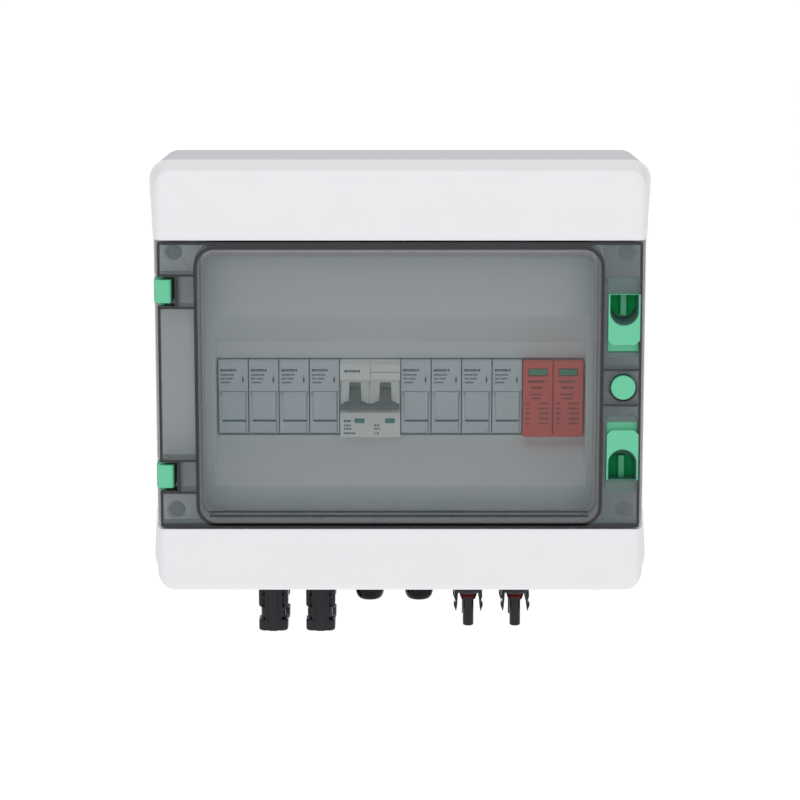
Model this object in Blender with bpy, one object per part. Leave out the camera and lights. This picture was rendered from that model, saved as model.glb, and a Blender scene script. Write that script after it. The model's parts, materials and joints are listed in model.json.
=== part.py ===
"""A wall box that combines four solar strings: hinged clear door, fuses, breaker and surge arrester.

Every size is in millimetres and becomes metres in at(). A place is (x, d, z): x to the right, d out
from the wall and z up, so that Blender's Y is -d. The origin is the middle of the back face.
"""

from math import acos, cos, pi, radians, sin

import bmesh
import bpy
from mathutils import Vector

MM = 0.001
GAP = 0.3                 # clearance between two pieces that meet
BITE = 0.5                # how far a joined lug runs into its wall

# Housing: a base on the wall and a cover over it
WALL = 3.0
BASE_HALF_W = 147.5
COVER_HALF_W = 148.0
HALF_H = 126.0
BASE_TOP_AT_WALL = 124.0
CORNER_R = 11.0
JOINT_D = 80.0
BACK_T = 3.5
FACE_D = 137.0
FACE_HALF_W = 140.9
FACE_HALF_H = 123.2
BED_D = 117.0             # the ledge of the cover under the door
BAND_TOP_Z = 82.8         # lower edge of the upper band
BAND_LOW_Z = -86.2        # upper edge of the lower band
WALL_HOLE = (125.0, 105.0, 2.6)      # x, z and radius of the four fixing holes
COVER_SCREW_X = 131.5
COVER_SCREW_Z = (74.0, -79.0)
SCREW_R = 2.0

# Row of modules on the rail
ROW_Z = -15.8
ROW_LEFT = -107.6
POLE = 18.0
MODULE_HALF_H = 41.0
NOSE_HALF_H = 22.5
SHOULDER_D = 95.0
NOSE_D = 102.6
RAIL_D = 51.0             # front plane of the rail's lips
RAIL_HALF_W = 17.5
RAIL_HALF_LENGTH = 114.0
RAIL_SCREW_X = 100.0
MCB_X = ROW_LEFT + 5 * POLE
SPD_X = ROW_LEFT + 11 * POLE
FUSE_X = [ROW_LEFT + POLE * (n + 0.5) for n in (0, 1, 2, 3, 6, 7, 8, 9)]
TOP_TERMINAL_D = 75.0
LOW_TERMINAL_D = 70.0
JUMPER_D = 64.0

# Opening of the mask in front of the row
MASK_D = 98.5
MASK_T = 2.5
POCKET_X = (-108.4, 109.2)
APERTURE_X = (-108.1, 108.9)
APERTURE_Z = (-38.9, 7.2)

# Fuse carriers
PIVOT_D = 99.0
PIVOT_Z = ROW_Z - NOSE_HALF_H + 3.0
CARRIER_W = 13.3
CARRIER_FACE_W = 17.4
CARRIER_REACH = 41.3      # farthest rear part from the pivot
FUSE_R = 5.15
FUSE_LENGTH = 38.0
FUSE_BACK = 9.5           # fuse centre line behind the pivot

# Breaker handle
HANDLE_D = 97.0
HANDLE_Z = -12.9
HANDLE_OFF = radians(-30.0)
HANDLE_REACH = 17.0

# Surge arrester
SPD_FLOOR_D = 62.0
BLADE_Z = 12.0

# Door, hinges and latches
DOOR_BACK_D = 119.3
DOOR_PLATE_D = 134.0
DOOR_HALF_W = 139.9
DOOR_Z = (-85.2, 81.8)
DOOR_WALL = 1.7
PANE_X = (-112.7, 111.6)
PANE_Z = (-74.7, 74.0)
PANE_D = 138.4
RIB_X = (-118.7, 117.7)
RIB_Z = (-84.4, 79.8)
HINGE_X = -137.5
HINGE_D = 130.0
HINGE_Z = (53.5, -55.1)
CLIP_HALF_H = 7.3
NOTCH_HALF_H = 8.6
NOTCH_X = -128.2
TRUNNION_R = 1.5
LATCH_X = 129.2
LOCK_Z = -2.4
LOCK_R = 7.2
LOCK_RIB = (9.6, 11.1)    # these and the next pairs are distances above or below the lock
WINDOW = (20.5, 55.0)     # the door's opening for a latch
WINDOW_HALF_W = 9.6
FINGER = (11.1, 19.0)     # the door's stop for a latch spring
KEEPER = (58.6, 62.0)
SLIDER = (17.6, 63.2)
PAD = (25.0, 54.5)
PAD_CHAMFER = 2.5
SPRING_GROOVE = (16.0, 34.0)
TONGUE = (35.0, 41.0)
LATCH_TRAVEL = 3.8
LATCH_HALF_W = 9.2
BOWL_DISTANCE = 44.5      # centre of the finger bowl's round end
BOWL_R = 8.2
BOWL_D = 125.6            # floor of the finger bowl
SLIDER_D = (124.0, 133.6)
PAD_D = 137.6
SPRING_D = 127.2
SPRING_R = 2.0
SPRING_WIRE_R = 0.45

# Connectors and glands in the floor of the base
FRONT_ROW_D = 64.0
REAR_ROW_D = 36.0
SOCKET_X = (-77.5, -48.6)
GLAND_X = (-18.4, 11.6)
PLUG_X = (41.9, 70.6)
VENT_X = 118.5
STEM_R = 6.0              # threaded stem of a connector
SOCKET_END_Z = -165.0
PLUG_END_Z = -162.8
GLAND_END_Z = -145.8
VENT_END_Z = -140.0
LEAD_R = 2.3


# ---------------------------------------------------------------- materials

def make_material(name, colour, roughness, metallic=0.0):
    material = bpy.data.materials.new(name)
    material.use_nodes = True
    shader = material.node_tree.nodes["Principled BSDF"]
    shader.inputs["Base Color"].default_value = (*colour, 1.0)
    shader.inputs["Roughness"].default_value = roughness
    shader.inputs["Metallic"].default_value = metallic
    material.diffuse_color = (*colour, 1.0)
    return material


FINISHES = {
    "white_abs": ((0.78, 0.78, 0.80), 0.45, 0.0),
    "smoked_pc": ((0.16, 0.18, 0.18), 0.15, 0.0),
    "green_pa": ((0.14, 0.52, 0.33), 0.40, 0.0),
    "seal_rubber": ((0.04, 0.04, 0.04), 0.80, 0.0),
    "zinc_steel": ((0.62, 0.63, 0.65), 0.30, 1.0),
    "module_grey": ((0.62, 0.62, 0.60), 0.50, 0.0),
    "breaker_grey": ((0.66, 0.65, 0.62), 0.48, 0.0),
    "handle_dark": ((0.05, 0.05, 0.06), 0.45, 0.0),
    "ceramic": ((0.80, 0.78, 0.72), 0.35, 0.0),
    "arrester_red": ((0.62, 0.05, 0.04), 0.40, 0.0),
    "connector_black": ((0.02, 0.02, 0.025), 0.45, 0.0),
    "copper": ((0.72, 0.36, 0.20), 0.30, 1.0),
    "lead_red": ((0.45, 0.03, 0.03), 0.55, 0.0),
    "lead_black": ((0.02, 0.02, 0.02), 0.55, 0.0),
    "vent_grey": ((0.45, 0.45, 0.46), 0.50, 0.0),
    "spring_steel": ((0.55, 0.56, 0.58), 0.25, 1.0),
}


# ---------------------------------------------------------------- shape tools

def at(x, d, z):
    return Vector((x * MM, -d * MM, z * MM))


def new_object(bm):
    bmesh.ops.recalc_face_normals(bm, faces=bm.faces)
    mesh = bpy.data.meshes.new("shape")
    bm.to_mesh(mesh)
    bm.free()
    shape = bpy.data.objects.new("shape", mesh)
    bpy.context.scene.collection.objects.link(shape)
    return shape


def loft(rings):
    """A closed solid through rings of (x, d, z) points, all with the same number of points."""
    bm = bmesh.new()
    loops = [[bm.verts.new(at(*point)) for point in ring] for ring in rings]
    count = len(loops[0])
    for low, high in zip(loops, loops[1:]):
        for i in range(count):
            j = (i + 1) % count
            bm.faces.new((low[i], low[j], high[j], high[i]))
    bm.faces.new(loops[0])
    bm.faces.new(loops[-1])
    return new_object(bm)


def prism_x(outline, low, high):
    """An outline of (d, z) points, run from x = low to x = high."""
    return loft([[(x, d, z) for d, z in outline] for x in (low, high)])


def prism_d(outline, low, high):
    """An outline of (x, z) points, run from d = low to d = high."""
    return loft([[(x, d, z) for x, z in outline] for d in (low, high)])


def prism_z(outline, low, high):
    """An outline of (x, d) points, run from z = low to z = high."""
    return loft([[(x, d, z) for x, d in outline] for z in (low, high)])


def box(x, d, z):
    outline = [(x[0], z[0]), (x[1], z[0]), (x[1], z[1]), (x[0], z[1])]
    return prism_d(outline, *d)


def arc(centre, radius, start, end, steps):
    """Points on a circle, with its angles in degrees."""
    angles = [radians(start + (end - start) * i / steps) for i in range(steps + 1)]
    return [(centre[0] + radius * cos(a), centre[1] + radius * sin(a)) for a in angles]


def rounded(x, z, radius, steps=5):
    """The outline of a rectangle with round corners."""
    corners = [(x[1] - radius, z[1] - radius, 0), (x[0] + radius, z[1] - radius, 90),
               (x[0] + radius, z[0] + radius, 180), (x[1] - radius, z[0] + radius, 270)]
    return [p for cx, cz, a in corners for p in arc((cx, cz), radius, a, a + 90, steps)]


def rounded_loft(stations, steps=5):
    """A solid through round-cornered rectangles, each given as (d, x range, z range, radius)."""
    return loft([[(x, d, z) for x, z in rounded(xs, zs, radius, steps)]
                 for d, xs, zs, radius in stations])


def rounded_ring(x, z, radius, width, d):
    """A flat ring of a given width, whose outer edge is a round-cornered rectangle."""
    ring = prism_d(rounded(x, z, radius), *d)
    inner_x = (x[0] + width, x[1] - width)
    inner_z = (z[0] + width, z[1] - width)
    carve(ring, prism_d(rounded(inner_x, inner_z, radius - width), d[0] - 1, d[1] + 1))
    return ring


def turned(centre, axis, profile, sides=16):
    """A solid of revolution along axis 'x', 'd' or 'z' through centre, from (radius, place) pairs."""
    rings = []
    for radius, place in profile:
        circle = [(radius * cos(2 * pi * i / sides), radius * sin(2 * pi * i / sides))
                  for i in range(sides)]
        if axis == "x":
            rings.append([(place, centre[0] + u, centre[1] + v) for u, v in circle])
        elif axis == "d":
            rings.append([(centre[0] + u, place, centre[1] + v) for u, v in circle])
        else:
            rings.append([(centre[0] + u, centre[1] + v, place) for u, v in circle])
    return loft(rings)


def rod(centre, axis, radius, low, high, sides=16):
    return turned(centre, axis, [(radius, low), (radius, high)], sides)


def sweep(points, radius, sides=8):
    """A round bar along (x, d, z) points, with flat ends."""
    path = [Vector(p) for p in points]
    rings = []
    across = Vector((0.0, 1.0, 0.0))
    for i, point in enumerate(path):
        along = (path[min(i + 1, len(path) - 1)] - path[max(i - 1, 0)]).normalized()
        across = (across - along * across.dot(along)).normalized()
        over = along.cross(across)
        rings.append([point + radius * (cos(a) * across + sin(a) * over)
                      for a in (2 * pi * k / sides for k in range(sides))])
    return loft(rings)


def smooth_path(knots, steps):
    """A Catmull-Rom curve through knots of (x, d, z)."""
    knots = [Vector(k) for k in knots]
    ends = [2 * knots[0] - knots[1]] + knots + [2 * knots[-1] - knots[-2]]
    path = []
    for a, b, c, e in zip(ends, ends[1:], ends[2:], ends[3:]):
        for k in range(steps):
            t = k / steps
            path.append(0.5 * (2 * b + (c - a) * t + (2 * a - 5 * b + 4 * c - e) * t ** 2
                               + (3 * b - a - 3 * c + e) * t ** 3))
    return path + [knots[-1]]


def combine(body, tools, operation):
    """Cut tools from a body or join them to it, and remove them."""
    for tool in tools:
        modifier = body.modifiers.new("combine", "BOOLEAN")
        modifier.operation = operation
        modifier.solver = "EXACT"
        modifier.object = tool
        bpy.context.view_layer.update()
        graph = bpy.context.evaluated_depsgraph_get()
        result = bpy.data.meshes.new_from_object(body.evaluated_get(graph))
        body.modifiers.clear()
        body.data = result
        bpy.data.objects.remove(tool)
    return body


def carve(body, *tools):
    return combine(body, tools, "DIFFERENCE")


def weld(body, *tools):
    return combine(body, tools, "UNION")


def finish(shape, name, finish_name, origin=None, smooth=None):
    """Name a solid, give it its own material and put its origin on its joint's axis."""
    shape.name = name
    shape.data.name = name
    shape.data.materials.clear()
    shape.data.materials.append(make_material(name, *FINISHES[finish_name]))
    if origin is not None:
        place = at(*origin)
        for vertex in shape.data.vertices:
            vertex.co -= place
        shape.location = place
    if smooth is not None:
        shape.data.shade_smooth()
        shape.data.set_sharp_from_angle(angle=radians(smooth))
    return shape


def hang(parent, *children):
    """Parent the children to an object and leave them where they are."""
    bpy.context.view_layer.update()
    for child in children:
        child.parent = parent
        child.matrix_parent_inverse = parent.matrix_world.inverted()


# ---------------------------------------------------------------- housing

def base_box():
    half = BASE_HALF_W
    box_out = rounded_loft([
        (0, (-half + 1, half - 1), (-HALF_H + 1, BASE_TOP_AT_WALL - 1), CORNER_R - 1),
        (1, (-half, half), (-HALF_H, BASE_TOP_AT_WALL), CORNER_R),
        (JOINT_D, (-COVER_HALF_W, COVER_HALF_W), (-HALF_H, HALF_H), CORNER_R)])
    inner = half - WALL
    hollow = rounded_loft([
        (BACK_T, (-inner, inner), (-HALF_H + WALL, BASE_TOP_AT_WALL - WALL), CORNER_R - WALL),
        (JOINT_D - 6, (-inner, inner), (-HALF_H + WALL, HALF_H - WALL - 0.5), CORNER_R - WALL)])
    mouth_x = COVER_HALF_W - 2 * WALL
    mouth_z = HALF_H - 2 * WALL
    mouth = prism_d(rounded((-mouth_x, mouth_x), (-mouth_z, mouth_z), CORNER_R - 2 * WALL),
                    JOINT_D - 7, JOINT_D + 1)
    groove_x = COVER_HALF_W - 2.0
    groove_z = HALF_H - 2.0
    groove = rounded_ring((-groove_x, groove_x), (-groove_z, groove_z), CORNER_R - 2.0, 2.4,
                          (JOINT_D - 3, JOINT_D + 1))
    carve(box_out, hollow, mouth, groove)

    for side in (-1, 1):
        x = side * RAIL_SCREW_X
        post = box((x - 8, x + 8), (BACK_T - BITE, RAIL_D - 7.5 - GAP), (ROW_Z - 15, ROW_Z + 15))
        carve(post, rod((x, ROW_Z), "d", SCREW_R + GAP, 28, 60, 10))
        weld(box_out, post)
        for z in COVER_SCREW_Z:
            x = side * COVER_SCREW_X
            column = rod((x, z), "d", 5.5, BACK_T - BITE, JOINT_D, 12)
            gusset = sorted((x, side * (inner + BITE)))
            weld(column, box(gusset, (BACK_T - BITE, JOINT_D - 10), (z - 1.5, z + 1.5)))
            carve(column, rod((x, z), "d", SCREW_R + GAP, 58, JOINT_D + 1, 10))
            weld(box_out, column)
        for z in (-WALL_HOLE[1], WALL_HOLE[1]):
            carve(box_out, rod((side * WALL_HOLE[0], z), "d", WALL_HOLE[2], -1, BACK_T + 1, 10))

    floor = (-HALF_H - 1, -HALF_H + WALL + 1)
    for x in SOCKET_X + PLUG_X:
        for d in (FRONT_ROW_D, REAR_ROW_D):
            carve(box_out, rod((x, d), "z", STEM_R + GAP, *floor, 12))
    for x in GLAND_X:
        carve(box_out, rod((x, FRONT_ROW_D), "z", 8 + GAP, *floor, 14))
    carve(box_out, rod((VENT_X, FRONT_ROW_D), "z", 5 + GAP, *floor, 12))
    return finish(box_out, "base_box", "white_abs", smooth=35)


def front_cover():
    stations = [(JOINT_D + GAP, 147.5, 125.5, 10.8), (81.0, 148.0, 126.0, 11.2),
                (83.6, 148.0, 126.0, 11.2), (85.2, 147.0, 125.0, 10.6),
                (86.8, 145.6, 124.0, 9.6), (132.5, FACE_HALF_W, FACE_HALF_H, 8.0),
                (135.0, FACE_HALF_W - 0.8, FACE_HALF_H - 0.8, 7.4),
                (136.5, FACE_HALF_W - 2.2, FACE_HALF_H - 2.2, 6.2),
                (FACE_D, FACE_HALF_W - 4.2, FACE_HALF_H - 4.2, 4.6)]
    cover = rounded_loft([(d, (-w, w), (-h, h), r) for d, w, h, r in stations])
    carve(cover, box((-160, 160), (BED_D, 150), (BAND_LOW_Z, BAND_TOP_Z)))
    carve(cover, rounded_loft([
        (JOINT_D - 1, (-143.6, 143.6), (-121.8, 121.8), 7.0),
        (BED_D - WALL, (-139.4, 139.4), (-120.4, 120.4), 6.0)]))
    band_x = (-FACE_HALF_W + 3.6, FACE_HALF_W - 3.6)
    for z in ((BAND_TOP_Z + WALL, FACE_HALF_H - 3.4), (-FACE_HALF_H + 3.4, BAND_LOW_Z - WALL)):
        carve(cover, rounded_loft([(BED_D - WALL - 2, band_x, z, 4.0),
                                   (FACE_D - WALL, band_x, z, 4.0)], 2))

    outer_x = (POCKET_X[0] - MASK_T, POCKET_X[1] + MASK_T)
    weld(cover, prism_x([(BED_D - BITE, 41.0), (BED_D - WALL + 0.4, 40.6), (MASK_D - MASK_T, 21.5),
                         (MASK_D - MASK_T, -44.0), (BED_D - WALL + 0.4, -68.0),
                         (BED_D - BITE, -68.4)], *outer_x))
    carve(cover, prism_x([(BED_D + 2, 38.9), (MASK_D, 18.4), (MASK_D, -41.0),
                          (BED_D, -64.5), (BED_D + 2, -67.0)], *POCKET_X))
    carve(cover, box(APERTURE_X, (MASK_D - MASK_T - 1, MASK_D + 1), APERTURE_Z))

    for x in (-COVER_SCREW_X, COVER_SCREW_X):
        for z in COVER_SCREW_Z:
            weld(cover, rod((x, z), "d", 6.2, JOINT_D + GAP, BED_D - BITE, 12))
            carve(cover, turned((x, z), "d", [(SCREW_R + GAP, 79), (SCREW_R + GAP, 111.5),
                                              (4.6, 111.5), (4.6, BED_D + 1)], 12))
    for z in HINGE_Z:
        carve(cover, box((-140.3 - GAP, -134.3 + GAP), (BED_D - WALL - 1, BED_D + 1),
                         (z - 4.5 - GAP, z + 4.5 + GAP)))
    for side in (1, -1):
        near = LOCK_Z + side * (TONGUE[0] - LATCH_TRAVEL - 1)
        far = LOCK_Z + side * (TONGUE[1] + 1)
        carve(cover, box((LATCH_X - 3.9, LATCH_X + 3.9), (BED_D - WALL - 1, BED_D + 1),
                         sorted((near, far))))
    return finish(cover, "front_cover", "white_abs", smooth=35)


def cover_gasket():
    x = COVER_HALF_W - 2.0 - GAP
    z = HALF_H - 2.0 - GAP
    ring = rounded_ring((-x, x), (-z, z), CORNER_R - 2.0 - GAP, 2.4 - 2 * GAP,
                        (JOINT_D - 3 + GAP, JOINT_D))
    return finish(ring, "cover_gasket", "seal_rubber")


def door_gasket():
    ring = rounded_ring((RIB_X[0] - 0.8, RIB_X[1] + 0.8), (RIB_Z[0] - 0.8, RIB_Z[1] + 0.8), 12.8,
                        3.6, (BED_D + GAP, DOOR_BACK_D - GAP))
    return finish(ring, "door_gasket", "seal_rubber")


def cover_screws():
    places = [(x, z) for z in COVER_SCREW_Z for x in (-COVER_SCREW_X, COVER_SCREW_X)]
    for number, (x, z) in enumerate(places, 1):
        screw = turned((x, z), "d", [(SCREW_R - 0.8, 64), (SCREW_R, 66), (SCREW_R, 111.8),
                                     (4.2, 111.8), (4.2, 115.2), (3.2, 116.4)], 12)
        carve(screw, box((x - 2.6, x + 2.6), (114.4, 117), (z - 0.5, z + 0.5)),
              box((x - 0.5, x + 0.5), (114.4, 117), (z - 2.6, z + 2.6)))
        finish(screw, f"cover_screw_{number}", "zinc_steel", smooth=35)


# ---------------------------------------------------------------- door

def off_lock(side, stretch):
    """A stretch given as distances from the lock, as a z range above (1) or below (-1) it."""
    return sorted((LOCK_Z + side * stretch[0], LOCK_Z + side * stretch[1]))


def hinge_clip(name, z):
    """A clip fixed to the cover's ledge, whose two trunnions carry the door."""
    plan = [(-131.4, BED_D + GAP), (-131.4, 133.8), (-132.2, 135.2), (-133.6, 136.0),
            (-137.6, 136.0), (-138.7, 135.0), (-142.2, BED_D + GAP)]
    clip = prism_z(plan, z - CLIP_HALF_H, z + CLIP_HALF_H)
    weld(clip, box((-140.3, -134.3), (BED_D - WALL - 0.7, BED_D + GAP + BITE), (z - 4.5, z + 4.5)),
         rod((HINGE_X, HINGE_D), "z", TRUNNION_R, z - 10.4, z + 10.4, 12))
    return finish(clip, name, "green_pa", smooth=35)


def door():
    half = DOOR_HALF_W
    low, high = DOOR_Z
    shell = rounded_loft([
        (DOOR_BACK_D, (-half - 2.5, half + 2.5), (low - 0.3, high + 0.3), 1.5),
        (DOOR_PLATE_D, (-half - 0.3, half + 0.3), (low, high), 1.5),
        (136.0, (-half + 0.2, half - 0.2), (low + 0.2, high - 0.2), 1.5),
        (FACE_D, (-half + 1.2, half - 1.2), (low + 1.2, high - 1.2), 1.5)], 2)
    back = half + 2.5 - DOOR_WALL
    front = half + 0.3 - DOOR_WALL
    carve(shell, rounded_loft([
        (DOOR_BACK_D - 0.2, (-back, back), (low + 1.4, high - 1.4), 0.6),
        (DOOR_PLATE_D, (-front, front), (low + 1.6, high - 1.6), 0.6)], 1))
    pane = [(DOOR_PLATE_D + 1, PANE_X, PANE_Z, 7.0), (FACE_D + 0.7, PANE_X, PANE_Z, 7.0),
            (PANE_D, (PANE_X[0] + 0.8, PANE_X[1] - 0.8), (PANE_Z[0] + 0.8, PANE_Z[1] - 0.8), 6.2)]
    weld(shell, rounded_loft(pane),
         rounded_ring(RIB_X, RIB_Z, 12.0, 2.0, (DOOR_BACK_D, DOOR_PLATE_D + BITE)))
    carve(shell, prism_d(rounded((PANE_X[0] + 1.5, PANE_X[1] - 1.5),
                                 (PANE_Z[0] + 1.5, PANE_Z[1] - 1.5), 6.0), 133, 135.4))

    right_rib = (RIB_X[1] - BITE, half + 0.2)
    for side in (1, -1):
        finger = (FINGER[0] - BITE, FINGER[1])
        weld(shell, box(right_rib, (DOOR_BACK_D + 0.7, DOOR_PLATE_D + BITE), off_lock(side, LOCK_RIB)),
             box((LATCH_X - 2.2, LATCH_X + 2.2), (124.8, 129.2), off_lock(side, finger)),
             box(right_rib, (121.2, 123.4), off_lock(side, KEEPER)))
        window = rounded((LATCH_X - WINDOW_HALF_W, LATCH_X + WINDOW_HALF_W), off_lock(side, WINDOW),
                         1.0, 1)
        carve(shell, prism_d(window, 133, 139))
    collar = rod((LATCH_X, LOCK_Z), "d", LOCK_R + 1.8, 128, DOOR_PLATE_D + BITE, 18)
    weld(shell, collar)
    carve(shell, rod((LATCH_X, LOCK_Z), "d", LOCK_R + GAP, 120, 140, 18))

    for z in HINGE_Z:
        for side in (-1, 1):
            near = z + side * (NOTCH_HALF_H - BITE)
            far = z + side * (NOTCH_HALF_H + 2.0)
            weld(shell, box((-half + 0.6, NOTCH_X + 2.2), (DOOR_BACK_D + 0.7, DOOR_PLATE_D + BITE),
                            sorted((near, far))))
        weld(shell, box((NOTCH_X, NOTCH_X + 1.5), (DOOR_BACK_D + 0.7, DOOR_PLATE_D + BITE),
                        (z - NOTCH_HALF_H - 1, z + NOTCH_HALF_H + 1)))
        carve(shell, box((-150, NOTCH_X), (118, 140), (z - NOTCH_HALF_H, z + NOTCH_HALF_H)),
              rod((HINGE_X, HINGE_D), "z", TRUNNION_R + GAP, z - 10.9, z + 10.9, 12))
    return finish(shell, "door", "smoked_pc", origin=(HINGE_X, HINGE_D, 0), smooth=35)


def latch(name, side):
    """A sliding latch: squeezed towards the lock it takes its tongue out of the cover's slot."""
    half = LATCH_HALF_W
    slider = box((LATCH_X - half, LATCH_X + half), SLIDER_D, off_lock(side, SLIDER))
    near, far = PAD
    pad = [(-half + 1.2, far), (-half, far - 1.2), (-half, near + PAD_CHAMFER),
           (-half + PAD_CHAMFER, near), (half - PAD_CHAMFER, near), (half, near + PAD_CHAMFER),
           (half, far - 1.2), (half - 1.2, far)]
    weld(slider, prism_d([(LATCH_X + u, LOCK_Z + side * v) for u, v in pad],
                         SLIDER_D[1] - BITE, PAD_D))
    start = 180 if side > 0 else 0
    bowl = arc((LATCH_X, LOCK_Z + side * BOWL_DISTANCE), BOWL_R, start, start + 180, 10)
    end_z = LOCK_Z + side * (PAD[1] + 1)
    carve(slider, prism_d(bowl + [(bowl[-1][0], end_z), (bowl[0][0], end_z)], BOWL_D, PAD_D + 1))
    carve(slider, box((LATCH_X - 4, LATCH_X + 4), (SLIDER_D[0] - 1, 130.5),
                      off_lock(side, SPRING_GROOVE)))
    weld(slider, box((LATCH_X - 2.7, LATCH_X + 2.7), (113.2, SLIDER_D[0] + BITE),
                     off_lock(side, TONGUE)))
    middle = LOCK_Z + side * (TONGUE[0] + TONGUE[1]) / 2
    return finish(slider, name, "green_pa", origin=(LATCH_X, 130, middle), smooth=35)


def latch_spring(name, side):
    """A coil spring between the door's finger and the far end of the latch's groove."""
    turns, per_turn = 5, 8
    low = FINGER[1] + GAP + SPRING_WIRE_R
    high = SPRING_GROOVE[1] - GAP - SPRING_WIRE_R
    steps = turns * per_turn
    angles = [2 * pi * i / per_turn for i in range(steps + 1)]
    points = [(LATCH_X + SPRING_R * cos(a), SPRING_D + SPRING_R * sin(a),
               LOCK_Z + side * (low + (high - low) * i / steps)) for i, a in enumerate(angles)]
    return finish(sweep(points, SPRING_WIRE_R, 4), name, "spring_steel", smooth=60)


def lock_plug():
    plug = turned((LATCH_X, LOCK_Z), "d", [(5.0, 121), (5.0, 127), (LOCK_R, 127), (LOCK_R, 136.9),
                                           (LOCK_R - 0.5, 137.4)], 18)
    return finish(plug, "lock_plug", "green_pa", smooth=35)


# ---------------------------------------------------------------- modules

def module_profile(nose=False):
    """Side view of a rail module, as (d, z): two feet grip the rail, and a nose may stand proud."""
    foot = [(58, -MODULE_HALF_H), (54, -24), (47.6, -24), (47.6, -15.9), (RAIL_D - 1.3, -15.9),
            (RAIL_D - 1.3, -RAIL_HALF_W - GAP), (RAIL_D + GAP, -RAIL_HALF_W - GAP)]
    back = foot + [(d, -z) for d, z in reversed(foot)]
    front = [(SHOULDER_D, MODULE_HALF_H)]
    if nose:
        front += [(SHOULDER_D, NOSE_HALF_H), (NOSE_D, NOSE_HALF_H),
                  (NOSE_D, -NOSE_HALF_H), (SHOULDER_D, -NOSE_HALF_H)]
    front += [(SHOULDER_D, -MODULE_HALF_H)]
    return [(d, ROW_Z + z) for d, z in back + front]


def drill_terminals(body, x):
    """Comb slot on top, lead hole below and two screw holes in front of one pole."""
    top = ROW_Z + MODULE_HALF_H
    carve(body, box((x - 2.6, x + 2.6), (TOP_TERMINAL_D - 1.6, TOP_TERMINAL_D + 1.6),
                    (top - 9, top + 1)),
          rod((x, LOW_TERMINAL_D), "z", LEAD_R + 0.7, ROW_Z - MODULE_HALF_H - 1,
              ROW_Z - MODULE_HALF_H + 9, 8))
    for z in (ROW_Z - 32, ROW_Z + 32):
        carve(body, rod((x, z), "d", 2.4, SHOULDER_D - 8, SHOULDER_D + 1, 6))


def fuse_bank(name, centres):
    """Four single-pole fuse bases, riveted side by side."""
    half = POLE / 2 - 0.2
    bank = prism_x(module_profile(), centres[0] - half, centres[-1] + half)
    for x in centres:
        carve(bank, box((x - 6.95, x + 6.95), (80.5, 97), (ROW_Z - 22.6, ROW_Z + 22.6)))
        drill_terminals(bank, x)
    return finish(bank, name, "module_grey")


def fuse_carrier(name, x):
    """A drawer that holds one fuse and tips out about its lower edge."""
    tip = acos(17.0 / CARRIER_REACH)
    sweep_points = [(PIVOT_D - CARRIER_REACH * cos(a), PIVOT_Z + CARRIER_REACH * sin(a))
                    for a in (tip + (radians(86) - tip) * i / 4 for i in range(5))]
    rear = [(PIVOT_D - 17, PIVOT_Z - 2.4)] + sweep_points
    rear += [(PIVOT_D, PIVOT_Z + 41), (PIVOT_D, PIVOT_Z - 2.4)]
    carrier = prism_x(rear, x - CARRIER_W / 2, x + CARRIER_W / 2)
    toe = [(PIVOT_D + u, PIVOT_Z + v) for u, v in arc((0, 0), 2.8, 180, 360, 6)]
    face = toe + [(PIVOT_D + 3, PIVOT_Z + 4), (PIVOT_D + 3, PIVOT_Z + 22.6),
                  (PIVOT_D + 3.6, PIVOT_Z + 23.4), (PIVOT_D + 3.6, PIVOT_Z + 41.2),
                  (PIVOT_D + 3.0, PIVOT_Z + 42), (PIVOT_D - 2.8, PIVOT_Z + 42)]
    weld(carrier, prism_x(face, x - CARRIER_FACE_W / 2, x + CARRIER_FACE_W / 2),
         box((x - 6.4, x + 7.5), (PIVOT_D + 2, PIVOT_D + 4.0), (PIVOT_Z + 6.2, PIVOT_Z + 22.8)))
    carve(carrier, box((x - 5.45, x + 5.45), (PIVOT_D - 20, PIVOT_D - 3.9),
                       (PIVOT_Z + 0.2, PIVOT_Z + 38.8)))
    return finish(carrier, name, "module_grey", origin=(x, PIVOT_D, PIVOT_Z), smooth=30)


def fuse_link(name, x):
    """A ceramic fuse with a metal cap at each end."""
    cap, tube = FUSE_R, FUSE_R - 0.3
    low = PIVOT_Z + 0.5
    high = low + FUSE_LENGTH
    link = turned((x, PIVOT_D - FUSE_BACK), "z", [(cap, low), (cap, low + 9), (tube, low + 9),
                                                  (tube, high - 9), (cap, high - 9), (cap, high)], 12)
    return finish(link, name, "ceramic", smooth=35)


def fuses():
    fuse_bank("fuse_bank_positive", FUSE_X[:4])
    fuse_bank("fuse_bank_negative", FUSE_X[4:])
    for number, x in enumerate(FUSE_X, 1):
        carrier = fuse_carrier(f"fuse_carrier_{number}", x)
        hang(carrier, fuse_link(f"fuse_link_{number}", x))


def mcb_body():
    half = POLE - 0.2
    body = prism_x(module_profile(nose=True), MCB_X - half, MCB_X + half)
    for x in (MCB_X - POLE / 2, MCB_X + POLE / 2):
        drill_terminals(body, x)
        carve(body, box((x - 3.9, x + 3.9), (92, 104), (-19.4, -5.6)))
    top = ROW_Z + MODULE_HALF_H
    carve(body, rod((MCB_X - POLE / 2, JUMPER_D), "z", LEAD_R, top - 9, top + 1, 8))
    return finish(body, "mcb_body", "breaker_grey")


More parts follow.
